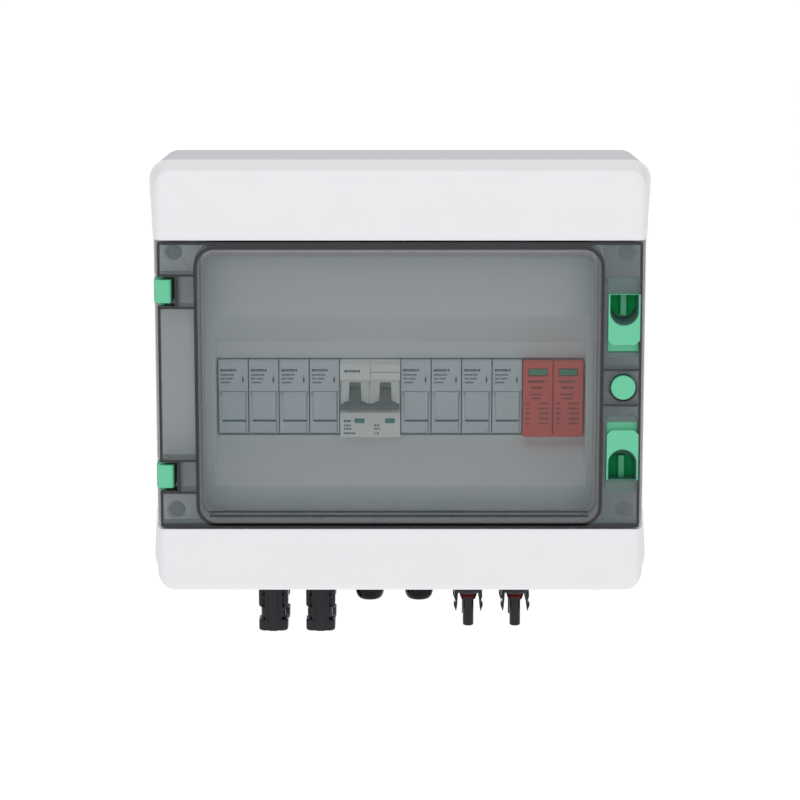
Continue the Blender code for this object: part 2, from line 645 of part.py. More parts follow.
def mcb_handle():
    """Two levers on one shaft line, joined by a tie bar, at rest in the off position."""
    def turn(points):
        c, s = cos(HANDLE_OFF), sin(HANDLE_OFF)
        return [(HANDLE_D + u * c - v * s, HANDLE_Z + u * s + v * c) for u, v in points]

    bar = prism_x(turn([(HANDLE_REACH - 2, -1.2), (HANDLE_REACH + 1.2, -1.2),
                        (HANDLE_REACH + 1.2, 1.2), (HANDLE_REACH - 2, 1.2)]),
                  MCB_X - 17.0, MCB_X + 17.0)
    hub = arc((0, 0), 3.4, 30, 330, 10)
    lever = turn(hub + [(HANDLE_REACH - 1, -1.6), (HANDLE_REACH - 1, 1.6)])
    for x in (MCB_X - POLE / 2, MCB_X + POLE / 2):
        weld(bar, prism_x(lever, x - 3.1, x + 3.1))
    return finish(bar, "mcb_handle", "handle_dark", origin=(MCB_X, HANDLE_D, HANDLE_Z), smooth=30)


def spd():
    half = POLE - 0.2
    base = prism_x(module_profile(), SPD_X - half, SPD_X + half)
    carve(base, box((SPD_X - 20, SPD_X + 20), (SPD_FLOOR_D, 97),
                    (ROW_Z - NOSE_HALF_H, ROW_Z + NOSE_HALF_H)))
    top = ROW_Z + MODULE_HALF_H
    for name, x in (("spd_cartridge_left", SPD_X - POLE / 2), ("spd_cartridge_right", SPD_X + POLE / 2)):
        drill_terminals(base, x)
        cartridge = box((x - 8.75, x + 8.75), (SPD_FLOOR_D + GAP, NOSE_D),
                        (ROW_Z - NOSE_HALF_H + GAP, ROW_Z + NOSE_HALF_H - GAP))
        for z in (ROW_Z - BLADE_Z, ROW_Z + BLADE_Z):
            weld(cartridge, box((x - 0.8, x + 0.8), (56.3, SPD_FLOOR_D + 1), (z - 4, z + 4)))
            carve(base, box((x - 1.3, x + 1.3), (55.5, SPD_FLOOR_D + 1), (z - 4.5, z + 4.5)))
        carve(cartridge, box((x - 10, x + 10), (NOSE_D - 1.2, NOSE_D + 1), (ROW_Z - 3.4, ROW_Z - 2.2)))
        finish(cartridge, name, "arrester_red", origin=(x, SPD_FLOOR_D, ROW_Z))
    carve(base, rod((SPD_X + POLE / 2, JUMPER_D), "z", LEAD_R, top - 9, top + 1, 8))
    return finish(base, "spd_base", "module_grey")


def din_rail():
    t = 1.0
    back = RAIL_D - 7.5
    half = [(RAIL_D, RAIL_HALF_W), (RAIL_D, 12.5), (back + t, 12.5)]
    under = [(back, 13.5), (RAIL_D - t, 13.5), (RAIL_D - t, RAIL_HALF_W)]
    outline = half + [(d, -z) for d, z in reversed(half)]
    outline += [(d, -z) for d, z in reversed(under)] + under
    rail = prism_x([(d, ROW_Z + z) for d, z in outline], -RAIL_HALF_LENGTH, RAIL_HALF_LENGTH)
    for x in (-RAIL_SCREW_X, RAIL_SCREW_X):
        carve(rail, rod((x, ROW_Z), "d", SCREW_R + GAP, back - 1, back + 3, 12))
    return finish(rail, "din_rail", "zinc_steel")


def rail_screws():
    seat = RAIL_D - 6.5 + GAP
    for name, x in (("rail_screw_left", -RAIL_SCREW_X), ("rail_screw_right", RAIL_SCREW_X)):
        screw = turned((x, ROW_Z), "d", [(SCREW_R - 0.8, 29), (SCREW_R, 31), (SCREW_R, seat),
                                         (3.6, seat), (3.2, seat + 1.6), (2.0, seat + 2.2)], 14)
        finish(screw, name, "zinc_steel", smooth=35)


# ---------------------------------------------------------------- wiring

def comb(name, poles):
    """A copper comb bar, with one prong in the top slot of each pole."""
    top = ROW_Z + MODULE_HALF_H
    thick = (TOP_TERMINAL_D - 0.8, TOP_TERMINAL_D + 0.8)
    bar = box((poles[0] - 3.5, poles[-1] + 3.5), thick, (top + 2.4, top + 10.4))
    for x in poles:
        weld(bar, box((x - 2.1, x + 2.1), thick, (top - 7, top + 3)))
    return finish(bar, name, "copper")


def harness(name, finish_name, starts, ends, bundle):
    """Four leads from the connectors to the fuses, gathered by one tie."""
    tie = box((bundle[0] - 6.4, bundle[0] + 6.4), (bundle[1] - 6.4, bundle[1] + 6.4),
              (bundle[2] - 2, bundle[2] + 2))
    slots = [(-2.9, -2.9), (-2.9, 2.9), (2.9, 2.9), (2.9, -2.9)]
    low = ROW_Z - MODULE_HALF_H
    for (x0, d0), x1, (u, v) in zip(starts, ends, slots):
        x, d = bundle[0] + u, bundle[1] + v
        knots = [(x0, d0, -103.4), (x0, d0, -100.5), (x0, d0, -97.5),
                 (x, d, bundle[2] - 3), (x, d, bundle[2] + 3),
                 (x1, LOW_TERMINAL_D, low - 8), (x1, LOW_TERMINAL_D, low - 1),
                 (x1, LOW_TERMINAL_D, low + 7)]
        weld(tie, sweep(smooth_path(knots, 2), LEAD_R, 6))
    return finish(tie, name, finish_name, smooth=50)


def wiring():
    left = MCB_X - POLE / 2
    right = MCB_X + POLE / 2
    comb("comb_positive", FUSE_X[:4] + [left])
    comb("comb_negative", [right] + FUSE_X[4:] + [SPD_X - POLE / 2])
    order = ((0, REAR_ROW_D), (0, FRONT_ROW_D), (1, FRONT_ROW_D), (1, REAR_ROW_D))
    harness("harness_positive", "lead_red", [(SOCKET_X[i], d) for i, d in order], FUSE_X[:4],
            (-66.0, 54.0, -80.0))
    harness("harness_negative", "lead_black", [(PLUG_X[i], d) for i, d in order], FUSE_X[4:],
            (46.0, 54.0, -80.0))
    top = ROW_Z + MODULE_HALF_H
    end = SPD_X + POLE / 2
    route = [(left, JUMPER_D, top - 7), (left, JUMPER_D, top + 12), (left + 10, JUMPER_D, top + 22),
             (end - 10, JUMPER_D, top + 22), (end, JUMPER_D, top + 12), (end, JUMPER_D, top - 7)]
    finish(sweep(smooth_path(route, 3), 1.7, 6), "spd_jumper", "lead_red", smooth=50)


# ---------------------------------------------------------------- connectors

def stem(x, d, sides=12):
    """The part of a connector in and above the floor: collar, thread, nut and cable tail."""
    floor = -HALF_H
    body = turned((x, d), "z", [(8.7, floor - GAP - 3), (8.7, floor - GAP), (STEM_R, floor - GAP),
                                (STEM_R, -111), (4.2, -109), (4.2, -104)], sides)
    weld(body, prism_z(arc((x, d), 8.6, 0, 300, 5), floor + WALL + GAP, floor + WALL + 4.5))
    return body


def string_socket(name, x, d):
    """Panel connector with an open mouth and two side windows for the mating latch."""
    socket = stem(x, d)
    collar = -HALF_H - GAP - 2
    outline = rounded((x - 6.9, x + 6.9), (d - 6.9, d + 6.9), 3.0, 2)
    wide = rounded((x - 8.7, x + 8.7), (d - 7.4, d + 7.4), 3.0, 2)
    weld(socket, prism_z(outline, SOCKET_END_Z + 6, collar),
         prism_z(wide, SOCKET_END_Z, SOCKET_END_Z + 7.6))
    for side in (-1, 1):
        weld(socket, box(sorted((x + side * 5.5, x + side * 8.7)), (d - 4.6, d + 4.6),
                         (SOCKET_END_Z + 14.6, collar)))
    carve(socket, rod((x, d), "z", 4.7, SOCKET_END_Z - 1, SOCKET_END_Z + 24, 12))
    for side in (-1, 1):
        carve(socket, box(sorted((x + side * 3.4, x + side * 9.5)), (d - 2.2, d + 2.2),
                          (SOCKET_END_Z + 3.0, SOCKET_END_Z + 12)))
    return finish(socket, name, "connector_black", smooth=35)


def string_plug(name, x, d):
    """Panel connector with a long insulated tube, a seal ring and two barbed latch arms."""
    plug = stem(x, d)
    shoulder = -142.6
    weld(plug, turned((x, d), "z", [(8.9, shoulder), (8.9, -128)], 14),
         turned((x, d), "z", [(3.0, PLUG_END_Z), (3.3, PLUG_END_Z + 0.8), (3.3, -145.4),
                              (5.0, -145.4), (5.0, shoulder + 1)], 12))
    for side in (-1, 1):
        arm = [(6.3, shoulder + 0.5), (8.3, shoulder + 0.5), (8.3, -146.6), (9.2, -147.4),
               (9.2, -149.2), (7.4, -152.6), (6.3, -152.6)]
        points = [(x + side * u, z) for u, z in arm]
        weld(plug, prism_d(points, d - 3, d + 3))
    carve(plug, rod((x, d), "z", 1.6, PLUG_END_Z - 1, PLUG_END_Z + 14, 8))
    return finish(plug, name, "connector_black", smooth=35)


def gland(side, x):
    d = FRONT_ROW_D
    floor = -HALF_H
    body = turned((x, d), "z", [(6.3, -138.0), (6.3, -131.0), (8.0, -131.0), (8.0, -115.0)], 14)
    weld(body, prism_z(arc((x, d), 10.6, 0, 300, 5), -131.0, floor - GAP),
         prism_z(arc((x, d), 10.8, 0, 300, 5), floor + WALL + GAP, floor + WALL + 5))
    carve(body, rod((x, d), "z", 4.4, -140, -110, 14))
    finish(body, f"gland_body_{side}", "connector_black", smooth=35)
    nut = turned((x, d), "z", [(5.4, GLAND_END_Z), (7.2, -144.6), (8.4, -142.0), (8.7, -139.4),
                               (8.7, -131.0 - GAP)], 18)
    carve(nut, turned((x, d), "z", [(6.6, -130), (6.6, -138.3), (4.1, -139.8), (4.1, -147)], 14))
    for k in range(6):
        a = 2 * pi * k / 6
        carve(nut, rod((x + 9.1 * cos(a), d + 9.1 * sin(a)), "z", 1.0, -140.5, -130, 5))
    finish(nut, f"gland_nut_{side}", "connector_black", origin=(x, d, -138), smooth=35)


def vent_plug():
    floor = -HALF_H
    x, d = VENT_X, FRONT_ROW_D
    plug = turned((x, d), "z", [(3.4, VENT_END_Z), (5.6, -139.0), (6.8, -136.6), (7.0, -133.0),
                                (7.0, floor - GAP), (5.0, floor - GAP), (5.0, -117.0)], 14)
    weld(plug, prism_z(arc((x, d), 7.6, 0, 300, 5), floor + WALL + GAP, floor + WALL + 4))
    return finish(plug, "vent_plug", "vent_grey", smooth=35)


def connectors():
    places = [(i, d) for d in (FRONT_ROW_D, REAR_ROW_D) for i in (0, 1)]
    for number, (i, d) in enumerate(places, 1):
        string_socket(f"string_socket_{number}", SOCKET_X[i], d)
        string_plug(f"string_plug_{number}", PLUG_X[i], d)
    gland("left", GLAND_X[0])
    gland("right", GLAND_X[1])
    vent_plug()


# ---------------------------------------------------------------- assembly

def main():
    for item in list(bpy.data.objects):
        bpy.data.objects.remove(item, do_unlink=True)

    base_box()
    front_cover()
    cover_gasket()
    door_gasket()
    cover_screws()
    for name, z in zip(("hinge_clip_upper", "hinge_clip_lower"), HINGE_Z):
        hinge_clip(name, z)
    leaf = door()
    for place, side in (("upper", 1), ("lower", -1)):
        hang(leaf, latch(f"latch_{place}", side), latch_spring(f"latch_spring_{place}", side))
    hang(leaf, lock_plug())

    din_rail()
    rail_screws()
    fuses()
    mcb_body()
    mcb_handle()
    spd()
    wiring()
    connectors()


main()
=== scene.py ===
"""The looks of a dc combiner box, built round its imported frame.

Sizes are in millimetres and become metres in at(). A place is (x, d, z): x to the right, d out from
the wall and z up, so that Blender's Y is -d. Places come from the frame's nodes by span().
"""

import json
from collections import namedtuple
from math import ceil, cos, pi, radians, sin

import bmesh
import bpy
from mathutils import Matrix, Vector


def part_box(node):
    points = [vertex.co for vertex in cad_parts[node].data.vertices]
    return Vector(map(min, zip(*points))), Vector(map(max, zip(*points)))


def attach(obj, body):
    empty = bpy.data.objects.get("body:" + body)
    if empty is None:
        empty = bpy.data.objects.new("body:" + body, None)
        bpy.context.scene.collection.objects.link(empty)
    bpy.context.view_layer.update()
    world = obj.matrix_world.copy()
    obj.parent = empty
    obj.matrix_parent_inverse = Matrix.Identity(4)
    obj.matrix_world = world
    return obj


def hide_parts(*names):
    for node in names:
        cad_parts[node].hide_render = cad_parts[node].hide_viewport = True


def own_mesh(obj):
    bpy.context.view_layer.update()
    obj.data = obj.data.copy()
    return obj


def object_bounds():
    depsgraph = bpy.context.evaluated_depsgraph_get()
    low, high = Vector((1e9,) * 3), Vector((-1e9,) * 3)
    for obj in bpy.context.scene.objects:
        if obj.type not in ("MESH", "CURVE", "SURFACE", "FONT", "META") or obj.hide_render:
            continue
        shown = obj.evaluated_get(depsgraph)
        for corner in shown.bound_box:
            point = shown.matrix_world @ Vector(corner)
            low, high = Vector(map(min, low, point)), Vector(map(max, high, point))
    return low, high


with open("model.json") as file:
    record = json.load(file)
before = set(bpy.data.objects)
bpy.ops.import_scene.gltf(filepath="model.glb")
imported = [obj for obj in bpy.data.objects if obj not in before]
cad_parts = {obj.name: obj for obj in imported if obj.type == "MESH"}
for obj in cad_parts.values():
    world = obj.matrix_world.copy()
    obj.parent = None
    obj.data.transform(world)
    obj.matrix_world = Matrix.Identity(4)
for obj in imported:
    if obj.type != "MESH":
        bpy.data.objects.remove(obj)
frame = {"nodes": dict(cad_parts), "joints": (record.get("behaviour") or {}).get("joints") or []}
cad_low, cad_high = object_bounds()

MM = 0.001
GAP = 0.3                  # clearance between two pieces that meet


class Range(namedtuple("Range", "low high")):
    """A stretch along one axis, in millimetres."""

    @property
    def mid(self):
        return (self.low + self.high) / 2


Span = namedtuple("Span", "x d z")


def span(node):
    """Where a CAD node is, as its ranges in x, d and z."""
    low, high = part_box(node)
    return Span(Range(low.x / MM, high.x / MM), Range(-high.y / MM, -low.y / MM),
                Range(low.z / MM, high.z / MM))


BASE = span("base_box")
COVER = span("front_cover")
DOOR = span("door")
ROW = span("mcb_body")
LOCK = span("lock_plug")
LOCK_PLACE = (LOCK.x.mid, LOCK.z.mid)
SIDES = (("upper", 1), ("lower", -1))
HANDS = ("left", "right")
ROW_Z = ROW.z.mid
NOSE_D = ROW.d.high        # front plane of the fuse modules
NOSE_Z = ROW_Z + 1.5       # middle of the modules' fronts, which sit a little high in the row
PROUD = 3.0                # how far the breaker and the arrester stand in front of the fuses
POLES = (ROW.x.mid - 9, ROW.x.mid + 9)
CLIP_Z = {place: span(f"hinge_clip_{place}").z.mid for place, _ in SIDES}
SEATS = [span(f"cover_screw_{n}") for n in range(1, 5)]

# ---- shape tools


def at(x, d, z):
    return Vector((x * MM, -d * MM, z * MM))


def placed(name, data):
    """A new object in the scene."""
    thing = bpy.data.objects.new(name, data)
    bpy.context.scene.collection.objects.link(thing)
    return thing


def new_object(bm):
    """An object from a bmesh, with its faces turned outwards."""
    bmesh.ops.recalc_face_normals(bm, faces=bm.faces)
    mesh = bpy.data.meshes.new("shape")
    bm.to_mesh(mesh)
    bm.free()
    return placed("shape", mesh)


def loft(rings, closed=False):
    """A solid through rings of (x, d, z) points. A closed one joins its last ring to its first."""
    bm = bmesh.new()
    loops = [[bm.verts.new(at(*point)) for point in ring] for ring in rings]
    pairs = list(zip(loops, loops[1:]))
    if closed:
        pairs.append((loops[-1], loops[0]))
    else:
        bm.faces.new(loops[0])
        bm.faces.new(loops[-1])
    count = len(loops[0])
    for low, high in pairs:
        for i in range(count):
            j = (i + 1) % count
            bm.faces.new((low[i], low[j], high[j], high[i]))
    return new_object(bm)


def prism_x(outline, low, high):
    """An outline of (d, z) points, run from x = low to x = high."""
    return loft([[(x, d, z) for d, z in outline] for x in (low, high)])


def prism_d(outline, low, high):
    """An outline of (x, z) points, run from d = low to d = high."""
    return loft([[(x, d, z) for x, z in outline] for d in (low, high)])


def prism_z(outline, low, high):
    """An outline of (x, d) points, run from z = low to z = high."""
    return loft([[(x, d, z) for x, d in outline] for z in (low, high)])


def about(middle, half):
    """The stretch that reaches half to each side of middle."""
    return (middle - half, middle + half)


def box(x, d, z):
    return prism_d([(x[0], z[0]), (x[1], z[0]), (x[1], z[1]), (x[0], z[1])], *d)


def arc(centre, radius, start, end, steps):
    """Points on a circle, with its angles in degrees."""
    angles = [radians(start + (end - start) * i / steps) for i in range(steps + 1)]
    return [(centre[0] + radius * cos(a), centre[1] + radius * sin(a)) for a in angles]


def rounded(x, z, radius, steps=8):
    """The outline of a rectangle with round corners."""
    corners = [(x[1] - radius, z[1] - radius, 0), (x[0] + radius, z[1] - radius, 90),
               (x[0] + radius, z[0] + radius, 180), (x[1] - radius, z[0] + radius, 270)]
    return [p for cx, cz, a in corners for p in arc((cx, cz), radius, a, a + 90, steps)]


def inset(x, z, radius, by):
    """A round-cornered rectangle, drawn in all round."""
    return ((x[0] + by, x[1] - by), (z[0] + by, z[1] - by), max(radius - by, 0.2))


def rounded_loft(stations, steps=8, closed=False):
    """A solid through round-cornered rectangles, each given as (d, x range, z range, radius)."""
    return loft([[(x, d, z) for x, z in rounded(xs, zs, radius, steps)]
                 for d, xs, zs, radius in stations], closed)


def slab(outline, d, steps=12):
    """A block across d with the outline (x range, z range, corner radius)."""
    return rounded_loft([(d[0], *outline), (d[1], *outline)], steps)


def rounded_plate(x, z, radius, d, edge, steps=8):
    """A plate across d whose edges all round are eased by a quarter circle of radius edge."""
    stations = []
    for end, inward in ((d[0], 1), (d[1], -1)):
        easing = [(end + inward * edge * (1 - sin(a)), edge * (1 - cos(a)))
                  for a in (radians(30 * k) for k in range(4))]
        stations += reversed(easing) if inward > 0 else easing
    return rounded_loft([(place, *inset(x, z, radius, s)) for place, s in stations], steps)


def rounded_ring(x, z, radius, width, d, edge=0.0, steps=8):
    """A flat ring of a given width, whose outer edge is a round-cornered rectangle."""
    section = [(0.0, d[0]), (width, d[0]), (width, d[1]), (0.0, d[1])]
    if edge:
        section = [(0.0, d[0] + edge), (edge, d[0]), (width - edge, d[0]), (width, d[0] + edge),
                   (width, d[1] - edge), (width - edge, d[1]), (edge, d[1]), (0.0, d[1] - edge)]
    return rounded_loft([(place, *inset(x, z, radius, s)) for s, place in section], steps, True)


def turned(centre, axis, profile, sides=32, closed=False):
    """A solid turned about axis 'x', 'd' or 'z' through centre, from (radius, place) pairs."""
    rings = []
    for radius, place in profile:
        ring = [list(p) for p in arc(centre, radius, 0, 360 * (sides - 1) / sides, sides - 1)]
        for point in ring:
            point.insert("xdz".index(axis), place)
        rings.append(ring)
    return loft(rings, closed)


def rod(centre, axis, radius, low, high, sides=32):
    return turned(centre, axis, [(radius, low), (radius, high)], sides)


def sweep(points, radius, sides=12):
    """A round bar along (x, d, z) points, with flat ends."""
    path = [Vector(p) for p in points]
    rings = []
    across = Vector((0.0, 1.0, 0.0))
    for i, point in enumerate(path):
        along = (path[min(i + 1, len(path) - 1)] - path[max(i - 1, 0)]).normalized()
        across = (across - along * across.dot(along)).normalized()
        over = along.cross(across)
        rings.append([point + radius * (cos(a) * across + sin(a) * over)
                      for a in (2 * pi * k / sides for k in range(sides))])
    return loft(rings)


def combine(body, tools, operation):
    """Cut tools from a body or join them to it, and remove them."""
    for tool in tools:
        modifier = body.modifiers.new("combine", "BOOLEAN")
        modifier.operation = operation
        modifier.solver = "EXACT"
        modifier.object = tool
    bpy.context.view_layer.update()
    graph = bpy.context.evaluated_depsgraph_get()
    result = bpy.data.meshes.new_from_object(body.evaluated_get(graph))
    body.modifiers.clear()
    body.data = result
    for tool in tools:
        bpy.data.objects.remove(tool)
    return body


def join(parts):
    """One object from several that don't touch."""
    bm = bmesh.new()
    for part in parts:
        bm.from_mesh(part.data)
        bpy.data.objects.remove(part)
    return new_object(bm)


def carve(body, *tools):
    return combine(body, tools, "DIFFERENCE")


def weld(body, *tools):
    return combine(body, tools, "UNION")


def crisp(shape, angle=35):
    """Smooth shading with sharp edges, for shapes that have their rounding modelled."""
    shape.data.shade_smooth()
    shape.data.set_sharp_from_angle(angle=radians(angle))
    return shape


def soften(shape, width, segments=2, angle=32):
    """Ease every edge sharper than angle, and shade so that the large flat faces stay flat."""
    bm = bmesh.new()
    bm.from_mesh(shape.data)
    bmesh.ops.remove_doubles(bm, verts=bm.verts, dist=0.004 * MM)
    many = [face for face in bm.faces if len(face.verts) > 4]
    bmesh.ops.triangulate(bm, faces=many, ngon_method="BEAUTY")
    bm.to_mesh(shape.data)
    bm.free()
    bevel = shape.modifiers.new("eased_edges", "BEVEL")
    bevel.width = width * MM
    bevel.segments = segments
    bevel.limit_method = "ANGLE"
    bevel.angle_limit = radians(angle)
    bevel.use_clamp_overlap = False
    bevel.harden_normals = False
    crisp(combine(shape, [], "DIFFERENCE"), 40)
    weighted = shape.modifiers.new("flat_faces", "WEIGHTED_NORMAL")
    weighted.keep_sharp = True
    weighted.weight = 80
    return shape


def finish(shape, name, material, body, slot, *nodes):
    """Name a piece, paint it, tie it to its body, and hide the CAD nodes that it stands for."""
    shape.name = name
    shape.data.name = name
    shape.data.materials.clear()
    shape.data.materials.append(material)
    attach(shape, body)
    if nodes:
        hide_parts(*nodes)
    return shape


def fixed(shape, name, material, slot, *nodes):
    """Finish a piece that belongs to the enclosure."""
    finish(shape, name, material, "enclosure", slot, *nodes)


# ---- materials

CERAMIC_HALF = 10.0        # half the length of a fuse link between its caps


def feed(tree, node, inputs):
    """Set a node's inputs, each to a value or by a link from another node's output."""
    for key, value in inputs.items():
        if isinstance(value, bpy.types.NodeSocket):
            tree.links.new(value, node.inputs[key])
        else:
            node.inputs[key].default_value = value
    return node


def add_node(tree, kind, inputs=(), **settings):
    node = tree.nodes.new(kind)
    for key, value in settings.items():
        setattr(node, key, value)
    return feed(tree, node, dict(inputs))


def ramp(tree, value, low, high, start=0.0, end=1.0):
    """The output that runs from low to high while value runs from start to end."""
    return add_node(tree, "ShaderNodeMapRange", {
        "Value": value, "From Min": start, "From Max": end,
        "To Min": low, "To Max": high}).outputs["Result"]


def mix(tree, factor, first, second):
    return add_node(tree, "ShaderNodeMix", {"Factor": factor, 6: first, 7: second},
                    data_type="RGBA").outputs[2]


def surface(name, colour, roughness, mottle_and_shade=0.05, grain=0.06, grain_scale=1400.0, relief=0.02,
            metallic=0.0, alpha=1.0, wear=0.0, specular=0.5, spread=0.06):
    """A moulded or plated finish: clouded colour, uneven gloss, fine relief, lighter worn edges."""
    material = bpy.data.materials.new(name)
    material.use_nodes = True
    tree = material.node_tree
    place = add_node(tree, "ShaderNodeTexCoord").outputs["Object"]

    def noise(scale, detail, rough=0.55):
        return add_node(tree, "ShaderNodeTexNoise", {
            "Scale": scale, "Detail": detail, "Roughness": rough, "Vector": place}).outputs["Fac"]

    def shade(factor, lift=0.0):
        return (*(min(1.0, c * factor + lift) for c in colour), 1.0)

    fine = noise(grain_scale, 3.0, 0.7)
    # Broad clouds of colour: random tone, and on the door's frosted plate painted soft shade.
    clouds_and_shade = mix(tree, noise(42.0, 4.0), shade(1.0 - mottle_and_shade), shade(1.0 + mottle_and_shade))
    tint = mix(tree, ramp(tree, fine, 0.0, grain), clouds_and_shade, shade(0.55))
    if wear:
        edge = add_node(tree, "ShaderNodeNewGeometry").outputs["Pointiness"]
        tint = mix(tree, ramp(tree, edge, 0.0, wear, 0.52, 0.62), tint, shade(1.25, 0.05))
    gloss = ramp(tree, noise(180.0, 3.0), roughness - spread, roughness + spread)
    bump = add_node(tree, "ShaderNodeBump", {"Strength": min(1.0, relief * 10),
                                             "Distance": relief * MM, "Height": fine})
    feed(tree, tree.nodes["Principled BSDF"], {
        "Base Color": tint, "Roughness": gloss, "Normal": bump.outputs["Normal"],
        "Metallic": metallic, "Alpha": alpha, "Specular IOR Level": specular})
    return material


def ceramic_link(name):
    """Glazed ceramic between two plated caps, told apart by their height along the link."""
    material = surface(name, (0.80, 0.78, 0.72), 0.25, grain=0.03)
    tree = material.node_tree
    shader = tree.nodes["Principled BSDF"]

    def step(operation, *values):
        return add_node(tree, "ShaderNodeMath", dict(enumerate(values)),
                        operation=operation).outputs[0]

    place = tree.nodes["Texture Coordinate"].outputs["Object"]
    height = add_node(tree, "ShaderNodeSeparateXYZ", {0: place}).outputs["Z"]
    away = step("ABSOLUTE", step("SUBTRACT", height, span("fuse_link_1").z.mid * MM))
    cap = step("GREATER_THAN", away, CERAMIC_HALF * MM)
    glaze = shader.inputs["Base Color"].links[0].from_socket
    plated = mix(tree, cap, glaze, (0.66, 0.65, 0.62, 1.0))
    feed(tree, shader, {"Base Color": plated, "Metallic": cap})
    return material


# Each finish: name, colour, roughness, how clouded, how speckled.
WHITE = surface("white_abs", (0.80, 0.795, 0.82), 0.5, 0.012, 0.05, relief=0.03, specular=0.3)
# The base's greyer white is painted shade: its top, which slopes back from the front light, shows
# darker than the cover's.
SHADED_BASE_WHITE = surface("base_abs_painted_shade", (0.585, 0.587, 0.616), 0.55, 0.012, 0.05, relief=0.03,
                     specular=0.3)
GREEN = surface("latch_green", (0.138, 0.55, 0.33), 0.5, 0.03, 0.05, wear=0.15, specular=0.25)
DEEP_GREEN = surface("latch_well_green", (0.001, 0.27, 0.072), 0.6, 0.10, 0.08, specular=0.08)
# The grey of the bowl's wall is painted shade and painted reflection on the green plastic.
CRESCENT_SHADED = surface("latch_wall_shade_and_reflection", (0.065, 0.15, 0.13), 0.45, 0.2, 0.1, specular=0.3)
TAIL = surface("latch_tail_green", (0.045, 0.15, 0.105), 0.5, 0.1, 0.1, specular=0.2)
RIB_GREEN = surface("latch_rib_green", (0.04, 0.33, 0.16), 0.3, 0.10, 0.08)
CLEAR = surface("door_clear", (0.016, 0.075, 0.072), 0.12, 0.04, 0.03, relief=0.004, alpha=0.245,
                spread=0.03)
# The frosted plate's strong broad clouding is painted soft shade, laid at random.
FROST_SHADE_CLOUDED = surface("door_frost_shade_clouds", (0.25, 0.30, 0.31), 0.55, 0.08, 0.25, alpha=0.27, relief=0.05)
BAND = surface("door_band_frost", (0.225, 0.24, 0.25), 0.50, 0.04, 0.30, alpha=0.38, relief=0.05)
# A darker copy of the band: painted shade, for the band's slope next to the window.
BAND_SHADED = surface("door_band_painted_shade", (0.145, 0.157, 0.166), 0.50, 0.04, 0.30, alpha=0.46,
                    relief=0.05)
# Dark door edges, ribs and ring; also a strip of painted shadow across the door's top.
EDGE_AND_SHADOW = surface("door_edge_and_shadow", (0.031, 0.031, 0.036), 0.35, 0.06, 0.45, alpha=0.90, specular=0.35)
FLANGE = surface("door_flange", (0.17, 0.18, 0.20), 0.35, 0.04, 0.08, alpha=0.50, specular=0.3)
# The bay's dark tint is painted shade, for the deep recess behind the latches.
BAY_PAINTED_SHADE = surface("door_latch_bay_painted_shade", (0.105, 0.125, 0.125), 0.45, 0.08, 0.08, alpha=0.26)
MODULE = surface("module_grey", (0.70, 0.735, 0.79), 0.5, 0.02, 0.06, wear=0.1, specular=0.3)
BREAKER = surface("breaker_grey", (0.94, 0.93, 0.91), 0.48, 0.02, 0.05, wear=0.1, specular=0.3)
BEIGE = surface("breaker_beige", (0.78, 0.745, 0.69), 0.5, 0.03, 0.06)
LEVER = surface("lever_dark", (0.245, 0.215, 0.225), 0.45, 0.04, 0.08, wear=0.1)
TEAL = surface("flag_teal", (0.10, 0.33, 0.34), 0.35)
FLAG = surface("flag_green", (0.13, 0.34, 0.19), 0.35)
RED = surface("arrester_red", (0.86, 0.145, 0.125), 0.45, 0.04, 0.06, wear=0.1, specular=0.3)
INK = surface("label_ink", (0.16, 0.155, 0.18), 0.6, 0.3)
RED_INK = surface("label_ink_on_red", (0.20, 0.04, 0.05), 0.6, 0.2)
BLACK = surface("connector_black", (0.009, 0.009, 0.014), 0.30, 0.15, 0.2, wear=0.2, relief=0.03,
                specular=0.30)
GLAND_BLACK = surface("gland_black", (0.004, 0.004, 0.006), 0.16, 0.1, 0.1, specular=0.16)
SEAL_RED = surface("seal_red", (0.085, 0.008, 0.008), 0.55, 0.15, 0.2, specular=0.2)
VENT = surface("vent_grey", (0.10, 0.10, 0.12), 0.5)
RUBBER = surface("seal_rubber", (0.035, 0.035, 0.037), 0.85, 0.2, 0.5, grain_scale=900.0,
                 relief=0.08)
ZINC = surface("zinc_steel", (0.66, 0.67, 0.69), 0.30, 0.06, 0.10, metallic=1.0)
SCREW = surface("screw_dark", (0.10, 0.10, 0.11), 0.4, 0.06, 0.10, metallic=0.6)
SPRING = surface("spring_steel", (0.58, 0.59, 0.61), 0.24, 0.06, 0.1, metallic=1.0)
COPPER = surface("copper", (0.74, 0.38, 0.22), 0.28, 0.12, 0.12, metallic=1.0)
CERAMIC = ceramic_link("fuse_ceramic")
LEAD_RED = surface("lead_red", (0.45, 0.03, 0.03), 0.55, 0.08, 0.15)
LEAD_BLACK = surface("lead_black", (0.02, 0.02, 0.02), 0.55, 0.15, 0.2)

CARRIED = {
    "door_gasket": RUBBER, "din_rail": ZINC, "rail_screw_left": ZINC,
    "rail_screw_right": ZINC, "comb_positive": COPPER, "comb_negative": COPPER,
    "harness_positive": LEAD_RED, "harness_negative": LEAD_BLACK, "spd_jumper": LEAD_RED,
    "fuse_bank_positive": MODULE, "fuse_bank_negative": MODULE, "spd_base": MODULE,
    **{f"fuse_link_{n}": CERAMIC for n in range(1, 9)},
}


def paint_carried_nodes():
    """Give the CAD nodes that show as they are their finishes."""
    for name, material in CARRIED.items():
        node = frame["nodes"][name]
        node.data.materials.clear()
        node.data.materials.append(material)


# ---- housing

